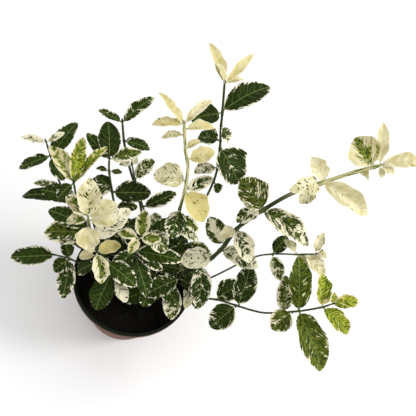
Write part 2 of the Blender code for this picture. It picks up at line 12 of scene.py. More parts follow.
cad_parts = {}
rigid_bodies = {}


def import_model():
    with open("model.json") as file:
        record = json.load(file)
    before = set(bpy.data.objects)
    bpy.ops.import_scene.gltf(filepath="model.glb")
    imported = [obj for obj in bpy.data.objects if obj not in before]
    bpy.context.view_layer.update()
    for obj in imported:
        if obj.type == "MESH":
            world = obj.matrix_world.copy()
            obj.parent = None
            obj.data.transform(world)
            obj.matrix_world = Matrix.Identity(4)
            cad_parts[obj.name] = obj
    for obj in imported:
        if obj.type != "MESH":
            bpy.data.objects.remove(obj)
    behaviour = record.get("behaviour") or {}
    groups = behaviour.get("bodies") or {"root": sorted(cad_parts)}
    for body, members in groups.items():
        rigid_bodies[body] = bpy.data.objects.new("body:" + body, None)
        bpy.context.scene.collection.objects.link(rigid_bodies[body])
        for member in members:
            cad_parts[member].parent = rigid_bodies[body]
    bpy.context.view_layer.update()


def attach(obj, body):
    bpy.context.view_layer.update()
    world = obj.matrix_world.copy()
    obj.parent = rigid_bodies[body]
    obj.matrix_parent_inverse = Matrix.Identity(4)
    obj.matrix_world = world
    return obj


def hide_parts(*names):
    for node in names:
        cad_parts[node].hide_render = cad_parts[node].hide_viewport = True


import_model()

# Camera. It looks down steeply on the plant from in front, and is turned so that the long shoots
# run up to the right across a square picture.
CAMERA_PLACE = (0.03281, -0.18926, 0.64311)
CAMERA_ELEVATION = math.radians(61.5)
CAMERA_ROLL = math.radians(28)
CAMERA_ANGLE = math.radians(40)
CAMERA_NEAR = 0.01

rise, run = math.sin(CAMERA_ELEVATION), math.cos(CAMERA_ELEVATION)
turn_x, turn_y = math.cos(CAMERA_ROLL), math.sin(CAMERA_ROLL)
lens = bpy.data.cameras.new("camera")
lens.sensor_fit = "HORIZONTAL"
lens.angle = CAMERA_ANGLE
lens.clip_start = CAMERA_NEAR
camera = bpy.data.objects.new("camera", lens)
camera.matrix_world = Matrix((
    (turn_x, -turn_y, 0, CAMERA_PLACE[0]),
    (turn_y * rise, turn_x * rise, -run, CAMERA_PLACE[1]),
    (turn_y * run, turn_x * run, rise, CAMERA_PLACE[2]),
    (0, 0, 0, 1),
))
bpy.context.scene.collection.objects.link(camera)
bpy.context.scene.camera = camera

# The pot. A round nursery pot of terracotta-coloured polypropylene, injection moulded in one shot
# with a stepped lip to lift it by, stacking rings, a raised foot and drain holes. Its lip carries a
# near-black compost and algae stain, and its inside is painted near black as shade and stain.
MM = 0.001
POT_RIM_RADIUS = 60 * MM
POT_HEIGHT = 95 * MM
POT_FOOT_RADIUS = 42.5 * MM
POT_WALL = 1.8 * MM
POT_FLOOR = 2.5 * MM
POT_LIP_HEIGHT = 6 * MM
POT_LIP_STEP = 1.4 * MM
POT_LIP_FILLET = (0.2 * MM, 0.1 * MM)
POT_ROUND = 0.6 * MM
POT_TURNS = 160
POT_SHARP = math.radians(40)
RING_HEIGHTS = (60 * MM, 52 * MM)
RING_PROUD = 0.35 * MM
RING_FACE = 0.4 * MM
FOOT_ROUND = 1.4 * MM
FOOT_TREAD = 4 * MM
FLOOR_RAISED = 0.5 * MM
FLOOR_HUB = 9 * MM
DRAIN_HOLES = 6
DRAIN_RADIUS = 4.5 * MM
DRAIN_CIRCLE = 29 * MM
DRAIN_SIDES = 24
DRILL_ENDS = (-3 * MM, 6 * MM)
WELD_REACH = 0.001 * MM
TERRACOTTA = "#6b4632"
TERRACOTTA_DUSTY = "#7a5c48"
# The near black of the lip and the inside: compost and algae stain, and painted shade in the pot's hollow.
POT_STAIN_AND_SHADE = "#070a04"
POT_STAIN_AND_SHADE_PALER = "#1a2210"
SCUFF_SIZE = 18 * MM
GRIT_SIZE = 1.5 * MM
FLOW_WIDTH = 3 * MM
FLOW_LENGTH = 60 * MM
STAIN_AND_SHADE_EDGE = (6.6 * MM, 7.4 * MM)
STAIN_AND_SHADE_RAGGED = (2.4 * MM, 3 * MM)


def linear(text):
    """An sRGB hex colour as linear red, green, blue and an alpha of 1: below 0.04045 each part is
    divided by 12.92, and above it is ((c + 0.055) / 1.055) to the power 2.4."""
    parts = np.array([int(text[i:i + 2], 16) / 255 for i in (1, 3, 5)])
    parts = np.where(parts <= 0.04045, parts / 12.92, ((parts + 0.055) / 1.055) ** 2.4)
    return (*parts.tolist(), 1.0)


def feed(tree, node, sockets):
    """Gives a node's inputs, by number or name, a value, a hex colour or the output that feeds it."""
    for name, value in sockets.items():
        if isinstance(value, bpy.types.NodeSocket):
            tree.links.new(value, node.inputs[name])
        else:
            node.inputs[name].default_value = linear(value) if isinstance(value, str) else value


def add(tree, kind, sockets, out=0, **settings):
    """Adds a shader node and gives its output of this number or name, or with None all of them. A
    MapRange takes its value at 0, the limits it comes from at 1 and 2 and those it goes to at 3 and
    4, and a Mix its share at 0 and its colours at 6 and 7."""
    made = tree.nodes.new("ShaderNode" + kind)
    for name, value in settings.items():
        setattr(made, name, value)
    feed(tree, made, sockets)
    return made.outputs if out is None else made.outputs[out]


def new_material(name):
    """An empty node material with its Principled shader: (material, tree, shader)."""
    made = bpy.data.materials.new(name)
    made.use_nodes = True
    tree = made.node_tree
    return made, tree, tree.nodes["Principled BSDF"]


def new_piece(name, points, faces, materials, smooth=True):
    """A mesh object in the scene from points in metres and arrays of faces, one array a face size."""
    mesh = bpy.data.meshes.new(name)
    sizes = np.concatenate([np.full(len(block), block.shape[1]) for block in faces])
    corners = np.concatenate([block.ravel() for block in faces])
    mesh.vertices.add(len(points))
    mesh.vertices.foreach_set("co", np.asarray(points, np.float32).ravel())
    mesh.loops.add(len(corners))
    mesh.loops.foreach_set("vertex_index", corners.astype(np.int32))
    mesh.polygons.add(len(sizes))
    mesh.polygons.foreach_set("loop_start", (np.cumsum(sizes) - sizes).astype(np.int32))
    mesh.polygons.foreach_set("loop_total", sizes.astype(np.int32))
    mesh.polygons.foreach_set("use_smooth", np.full(len(sizes), smooth))
    mesh.update(calc_edges=True)
    mesh.validate()
    for finish in materials:
        mesh.materials.append(finish)
    made = bpy.data.objects.new(name, mesh)
    bpy.context.scene.collection.objects.link(made)
    return made


def tube_faces(rows, around):
    """Faces of a closed tube of rings whose points follow one another: quads between the rings,
    going round each, and one cap at either end."""
    row, step = np.meshgrid(np.arange(rows - 1), np.arange(around), indexing="ij")
    a = row * around + step
    b = row * around + (step + 1) % around
    quads = np.stack([a, b, b + around, a + around], -1).reshape(-1, 4)
    first, last = np.arange(around)[::-1], (rows - 1) * around + np.arange(around)
    return quads, first[None], last[None]


def lathe(profile, turns):
    """A profile of (radius, height) turned round the Z axis: x = r cos a, y = r sin a, z = h. The
    profile is a closed loop, so its last point joins its first."""
    angle = np.arange(turns) * 2 * np.pi / turns
    radius, height = np.array(profile).T
    points = np.stack([np.outer(radius, np.cos(angle)), np.outer(radius, np.sin(angle)),
                       np.repeat(height[:, None], turns, 1)], -1)
    row, step = np.meshgrid(np.arange(len(profile)), np.arange(turns), indexing="ij")
    a, b = row * turns + step, row * turns + (step + 1) % turns
    next_row = (row + 1) % len(profile) * turns
    quads = np.stack([a, b, next_row + (step + 1) % turns, next_row + step], -1).reshape(-1, 4)
    return points.reshape(-1, 3), quads


def weld(piece):
    """Makes points that share a place one, so that a pole closes, and turns every face outward."""
    shape = bmesh.new()
    shape.from_mesh(piece.data)
    bmesh.ops.remove_doubles(shape, verts=shape.verts, dist=WELD_REACH)
    bmesh.ops.recalc_face_normals(shape, faces=shape.faces)
    shape.to_mesh(piece.data)
    shape.free()


def pot_wall(height):
    """The outer radius of the pot's tapering wall at a height: it grows evenly from foot to lip."""
    top = POT_RIM_RADIUS - POT_LIP_STEP
    return POT_FOOT_RADIUS + (top - POT_FOOT_RADIUS) * height / POT_HEIGHT


def corner(centre, radius, start, stop, count=6):
    """Points of an arc of the profile from one angle to another, in degrees."""
    angle = np.radians(np.linspace(start, stop, count))
    return [(centre[0] + radius * math.cos(a), centre[1] + radius * math.sin(a)) for a in angle]


lip_foot = POT_HEIGHT - POT_LIP_HEIGHT
lip_top = POT_HEIGHT - POT_ROUND
pot_profile = corner((pot_wall(POT_HEIGHT) - POT_WALL + POT_ROUND, lip_top), POT_ROUND, 180, 90)
pot_profile += corner((POT_RIM_RADIUS - POT_ROUND, lip_top), POT_ROUND, 90, 0)
pot_profile += corner((POT_RIM_RADIUS - POT_ROUND, lip_foot + POT_ROUND), POT_ROUND, 0, -90)
pot_profile += [(pot_wall(lip_foot) + POT_LIP_FILLET[0], lip_foot - POT_LIP_FILLET[1]),
                (pot_wall(lip_foot), lip_foot - POT_ROUND)]
for height in RING_HEIGHTS:
    proud = pot_wall(height) + RING_PROUD
    pot_profile += [(pot_wall(height + MM), height + MM), (proud, height + RING_FACE),
                    (proud, height - RING_FACE), (pot_wall(height - MM), height - MM)]
pot_profile += corner((POT_FOOT_RADIUS - FOOT_ROUND, FOOT_ROUND), FOOT_ROUND, -10, -90)
pot_profile += [(POT_FOOT_RADIUS - FOOT_TREAD, 0), (POT_FOOT_RADIUS - FOOT_TREAD - MM, FLOOR_RAISED),
                (FLOOR_HUB + MM, FLOOR_RAISED), (FLOOR_HUB, 0), (0, 0), (0, POT_FLOOR),
                (pot_wall(POT_FLOOR) - POT_WALL - MM, POT_FLOOR),
                (pot_wall(POT_FLOOR + MM) - POT_WALL, POT_FLOOR + MM)]
pot_points, pot_quads = lathe(pot_profile, POT_TURNS)

polypropylene, tree, shader = new_material("terracotta polypropylene")
# Moulded polypropylene is satin: it shows faint flow streaks down the wall, dusty scuffs, and a
# near-black band with a ragged edge round the lip and over the inside: compost and algae stain on
# the lip, and painted shade together with that stain inside the pot.
place = add(tree, "TexCoord", {}, "Object")
up = add(tree, "SeparateXYZ", {0: place}, "Z")
scuff = add(tree, "TexNoise", {"Vector": place, "Scale": 1 / SCUFF_SIZE, "Detail": 5.0, "Roughness": 0.6})
grit = add(tree, "TexNoise", {"Vector": place, "Scale": 1 / GRIT_SIZE, "Detail": 3.0})
flow_at = add(tree, "VectorMath", {0: place, 1: (1 / FLOW_WIDTH, 1 / FLOW_WIDTH, 1 / FLOW_LENGTH)},
              operation="MULTIPLY")
flow = add(tree, "TexNoise", {"Vector": flow_at, "Scale": 1.0, "Detail": 2.0})
dust = add(tree, "MapRange", {0: scuff, 1: 0.42, 2: 0.7})
clay = add(tree, "Mix", {0: dust, 6: TERRACOTTA, 7: TERRACOTTA_DUSTY}, 2, data_type="RGBA")
streak = add(tree, "MapRange", {0: flow, 1: 0.3, 2: 0.7, 3: 0.86, 4: 1.08})
wall = add(tree, "VectorMath", {0: clay, 1: streak}, operation="MULTIPLY")
# The ragged near-black band: a compost and algae stain on the lip, and painted shade with that stain over the
# inside of the pot.
ragged = add(tree, "Math", {0: grit, 1: STAIN_AND_SHADE_RAGGED[0]}, operation="MULTIPLY")
ragged = add(tree, "Math", {0: scuff, 1: STAIN_AND_SHADE_RAGGED[1], 2: ragged}, operation="MULTIPLY_ADD")
stain_and_shade_level = add(tree, "Math", {0: up, 1: ragged}, operation="ADD")
flat = add(tree, "VectorMath", {0: place, 1: (1, 1, 0)}, operation="MULTIPLY")
reach = add(tree, "VectorMath", {0: flat}, "Value", operation="LENGTH")
taper = (pot_wall(POT_HEIGHT) - POT_FOOT_RADIUS) / POT_HEIGHT
shell = add(tree, "Math", {0: up, 1: -taper, 2: reach}, operation="MULTIPLY_ADD")
inside = add(tree, "MapRange", {0: shell, 1: POT_FOOT_RADIUS - 0.5 * MM, 2: POT_FOOT_RADIUS - 0.9 * MM})
above_foot = add(tree, "MapRange", {0: up, 1: 1 * MM, 2: 2 * MM})
within = add(tree, "Math", {0: inside, 1: above_foot}, operation="MULTIPLY")
high = add(tree, "MapRange", {0: stain_and_shade_level, 1: lip_foot + STAIN_AND_SHADE_EDGE[0], 2: lip_foot + STAIN_AND_SHADE_EDGE[1]})
stain_and_shade = add(tree, "Math", {0: within, 1: high}, operation="MAXIMUM")
stain_and_shade_colour = add(tree, "Mix", {0: grit, 6: POT_STAIN_AND_SHADE, 7: POT_STAIN_AND_SHADE_PALER}, 2, data_type="RGBA")
feed(tree, shader, {
    "Base Color": add(tree, "Mix", {0: stain_and_shade, 6: wall, 7: stain_and_shade_colour}, 2, data_type="RGBA"),
    "Roughness": add(tree, "MapRange", {0: scuff, 1: 0.3, 2: 0.7, 3: 0.42, 4: 0.68}),
    "Normal": add(tree, "Bump", {"Height": grit, "Strength": 0.25, "Distance": 0.15 * MM}),
    "IOR": 1.49, "Specular IOR Level": 0.12,
})

blank = new_piece("pot_blank", pot_points, [pot_quads], [])
weld(blank)
drills = bpy.data.collections.new("drills")
for i in range(DRAIN_HOLES):
    turn = 2 * math.pi * i / DRAIN_HOLES
    angle = np.arange(DRAIN_SIDES) * 2 * np.pi / DRAIN_SIDES
    ring = np.stack([DRAIN_CIRCLE * math.cos(turn) + DRAIN_RADIUS * np.cos(angle),
                     DRAIN_CIRCLE * math.sin(turn) + DRAIN_RADIUS * np.sin(angle), 0 * angle], 1)
    drill = new_piece(f"drill_{i}", np.concatenate([ring + (0, 0, end) for end in DRILL_ENDS]),
                      list(tube_faces(2, DRAIN_SIDES)), [])
    bpy.context.scene.collection.objects.unlink(drill)
    drills.objects.link(drill)
cut = blank.modifiers.new("drain holes", "BOOLEAN")
cut.operation = "DIFFERENCE"
cut.operand_type = "COLLECTION"
cut.collection = drills
cut.solver = "EXACT"
bored = bpy.data.meshes.new_from_object(blank.evaluated_get(bpy.context.evaluated_depsgraph_get()))
for spent in [blank, *drills.objects]:
    bpy.data.objects.remove(spent)
bpy.data.collections.remove(drills)

# The cut leaves thin slivers and sheets of two faces back to back. Points that share a place become
# one, and every triangle with a repeated point or with a twin goes.
bored.calc_loop_triangles()
points = np.empty(3 * len(bored.vertices), np.float32)
bored.vertices.foreach_get("co", points)
corners = np.empty(3 * len(bored.loop_triangles), np.int32)
bored.loop_triangles.foreach_get("vertices", corners)
points = points.reshape(-1, 3)
_, kept, shared = np.unique(np.round(points / WELD_REACH), axis=0, return_index=True, return_inverse=True)
triangles = shared.ravel()[corners].reshape(-1, 3)
triangles = triangles[(np.diff(np.sort(triangles, 1), axis=1) > 0).all(1)]
_, group, count = np.unique(np.sort(triangles, 1), axis=0, return_inverse=True, return_counts=True)
pot = new_piece("nursery_pot", points[kept], [triangles[count[group.ravel()] == 1]], [polypropylene])
pot.data.set_sharp_from_angle(angle=POT_SHARP)
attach(pot, "root")
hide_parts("pot")

# The compost. Damp black peat fills the pot to below the lip: a crumbly, uneven top of clods,
# fibres and a little green algae, and smooth sides where the pot moulds it.
SOIL_TOP = 78 * MM
SOIL_BUMP = 1.1 * MM
SOIL_WAVE = 7 * MM
CLOD_HIGH, CLOD_WIDE = 0.8 * MM, 9 * MM
LUMP_HIGH, LUMP_WIDE = 0.45 * MM, 3.5 * MM
SOIL_SIDES = (SOIL_TOP - 2 * MM, 40 * MM)
SOIL_RINGS = 72
SOIL_AROUND = 200
CRUMBS = 1500
CRUMB_SIZES = (0.6 * MM, 2.6 * MM)
CRUMB_LIFT = 0.12
PEAT = "#0d0a07"
PEAT_BROWN = "#2a1d12"
PEAT_MOSS = "#28331a"
MOSS_SIZE = 6 * MM
FIBRE_SIZE = 0.9 * MM
GAP = 0.3 * MM

rng = np.random.default_rng(11)


def ripples(x, y, size, count=14):
    """A smooth random surface: a sum of sine waves of random direction and phase, each about one
    size long, divided by the root of their number."""
    heading = rng.uniform(0, 2 * np.pi, count)
    wave = 2 * np.pi / (size * rng.uniform(0.6, 1.6, count))
    phase = rng.uniform(0, 2 * np.pi, count)
    along = x[..., None] * np.cos(heading) + y[..., None] * np.sin(heading)
    return np.sin(along * wave + phase).sum(-1) / math.sqrt(count)


soil_edge = pot_wall(SOIL_TOP) - POT_WALL - GAP
share = np.linspace(0, 1, SOIL_RINGS)
angle = np.arange(SOIL_AROUND) * 2 * np.pi / SOIL_AROUND
x, y = np.outer(soil_edge * share, np.cos(angle)), np.outer(soil_edge * share, np.sin(angle))
waves = SOIL_BUMP * np.sin(x / SOIL_WAVE + 1) * np.cos(y / SOIL_WAVE)
clods = CLOD_HIGH * ripples(x, y, CLOD_WIDE) + LUMP_HIGH * np.abs(ripples(x, y, LUMP_WIDE))
# The bumps die out at the pot's wall, as the twelfth power of the share of the radius.
level = SOIL_TOP + (waves + clods) * (1 - share[:, None] ** 12)
top_rows = np.stack([x, y, level], -1)
heights = np.array([*SOIL_SIDES, POT_FLOOR + GAP])
radii = np.array([pot_wall(h) for h in heights]) - POT_WALL - GAP
side_rows = np.stack([np.outer(radii, np.cos(angle)), np.outer(radii, np.sin(angle)),
                      np.repeat(heights[:, None], SOIL_AROUND, 1)], -1)
soil_points = np.concatenate([top_rows, side_rows])[::-1].reshape(-1, 3)
soil_faces = tube_faces(SOIL_RINGS + len(heights), SOIL_AROUND)

# Clods and crumbs are twenty-sided lumps with uneven corners, most of them small, half sunk in.
# Corners closer than 1.1 radii are neighbours, and three neighbours make a face.
golden = (1 + 5**0.5) / 2
lump = np.array([(0, a, b * golden) for a in (-1, 1) for b in (-1, 1)])
lump = np.concatenate([lump, lump[:, [2, 0, 1]], lump[:, [1, 2, 0]]]) / math.hypot(1, golden)
apart = np.linalg.norm(lump[:, None] - lump[None], axis=2)
lump_faces = np.array([(i, j, k) for i in range(12) for j in range(i + 1, 12) for k in range(j + 1, 12)
                       if max(apart[i, j], apart[j, k], apart[i, k]) < 1.1])
first, second, third = lump[lump_faces].transpose(1, 0, 2)
inward = np.einsum("ij,ij->i", np.cross(second - first, third - first), first) < 0
lump_faces[inward] = lump_faces[inward][:, ::-1]
place_radius = (soil_edge - 2 * MM) * np.sqrt(rng.uniform(0, 1, CRUMBS))
place_angle = rng.uniform(0, 2 * np.pi, CRUMBS)
size = CRUMB_SIZES[0] + (CRUMB_SIZES[1] - CRUMB_SIZES[0]) * rng.uniform(0, 1, CRUMBS) ** 3
stretch = rng.uniform(0.6, 1.4, (CRUMBS, 1, 3)) * np.array([1, 1, 0.75])
uneven = rng.uniform(0.75, 1.2, (CRUMBS, 12, 1))
crumbs = lump[None] * stretch * uneven * size[:, None, None] / 2
ring_at = np.clip((place_radius / soil_edge * SOIL_RINGS).astype(int), 0, SOIL_RINGS - 1)
turn_at = (place_angle / (2 * np.pi) * SOIL_AROUND).astype(int)
middles = np.stack([place_radius * np.cos(place_angle), place_radius * np.sin(place_angle),
                    level[ring_at, turn_at] + size * CRUMB_LIFT], -1)
crumbs = crumbs + middles[:, None]
crumb_faces = (lump_faces[None] + 12 * np.arange(CRUMBS)[:, None, None]).reshape(-1, 3) + len(soil_points)

peat, tree, shader = new_material("damp peat compost")
# Peat is nearly black when wet and drinks the light; only its broken edges, brown fibres and specks
# of algae show.
place = add(tree, "TexCoord", {}, "Object")
patch = add(tree, "TexNoise", {"Vector": place, "Scale": 1 / MOSS_SIZE, "Detail": 4.0})
fibre = add(tree, "TexNoise", {"Vector": place, "Scale": 1 / FIBRE_SIZE, "Detail": 4.0, "Roughness": 0.7})
brown = add(tree, "MapRange", {0: fibre, 1: 0.52, 2: 0.72})
earth = add(tree, "Mix", {0: brown, 6: PEAT, 7: PEAT_BROWN}, 2, data_type="RGBA")
mossy = add(tree, "Math", {0: patch, 1: fibre}, operation="MULTIPLY")
moss = add(tree, "MapRange", {0: mossy, 1: 0.33, 2: 0.4})
feed(tree, shader, {
    "Base Color": add(tree, "Mix", {0: moss, 6: earth, 7: PEAT_MOSS}, 2, data_type="RGBA"),
    "Normal": add(tree, "Bump", {"Height": fibre, "Strength": 0.8, "Distance": 0.5 * MM}),
    "Roughness": 0.92, "Specular IOR Level": 0.15,
})

soil = new_piece("peat_compost", np.concatenate([soil_points, crumbs.reshape(-1, 3)]),
                 [*soil_faces, crumb_faces], [peat], smooth=False)
weld(soil)
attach(soil, "root")
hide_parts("soil")

# The shrub. A young variegated euonymus of many slim shoots, rooted close together in the compost.
# They carry their leaves in opposite pairs and end in a tuft of young ones.

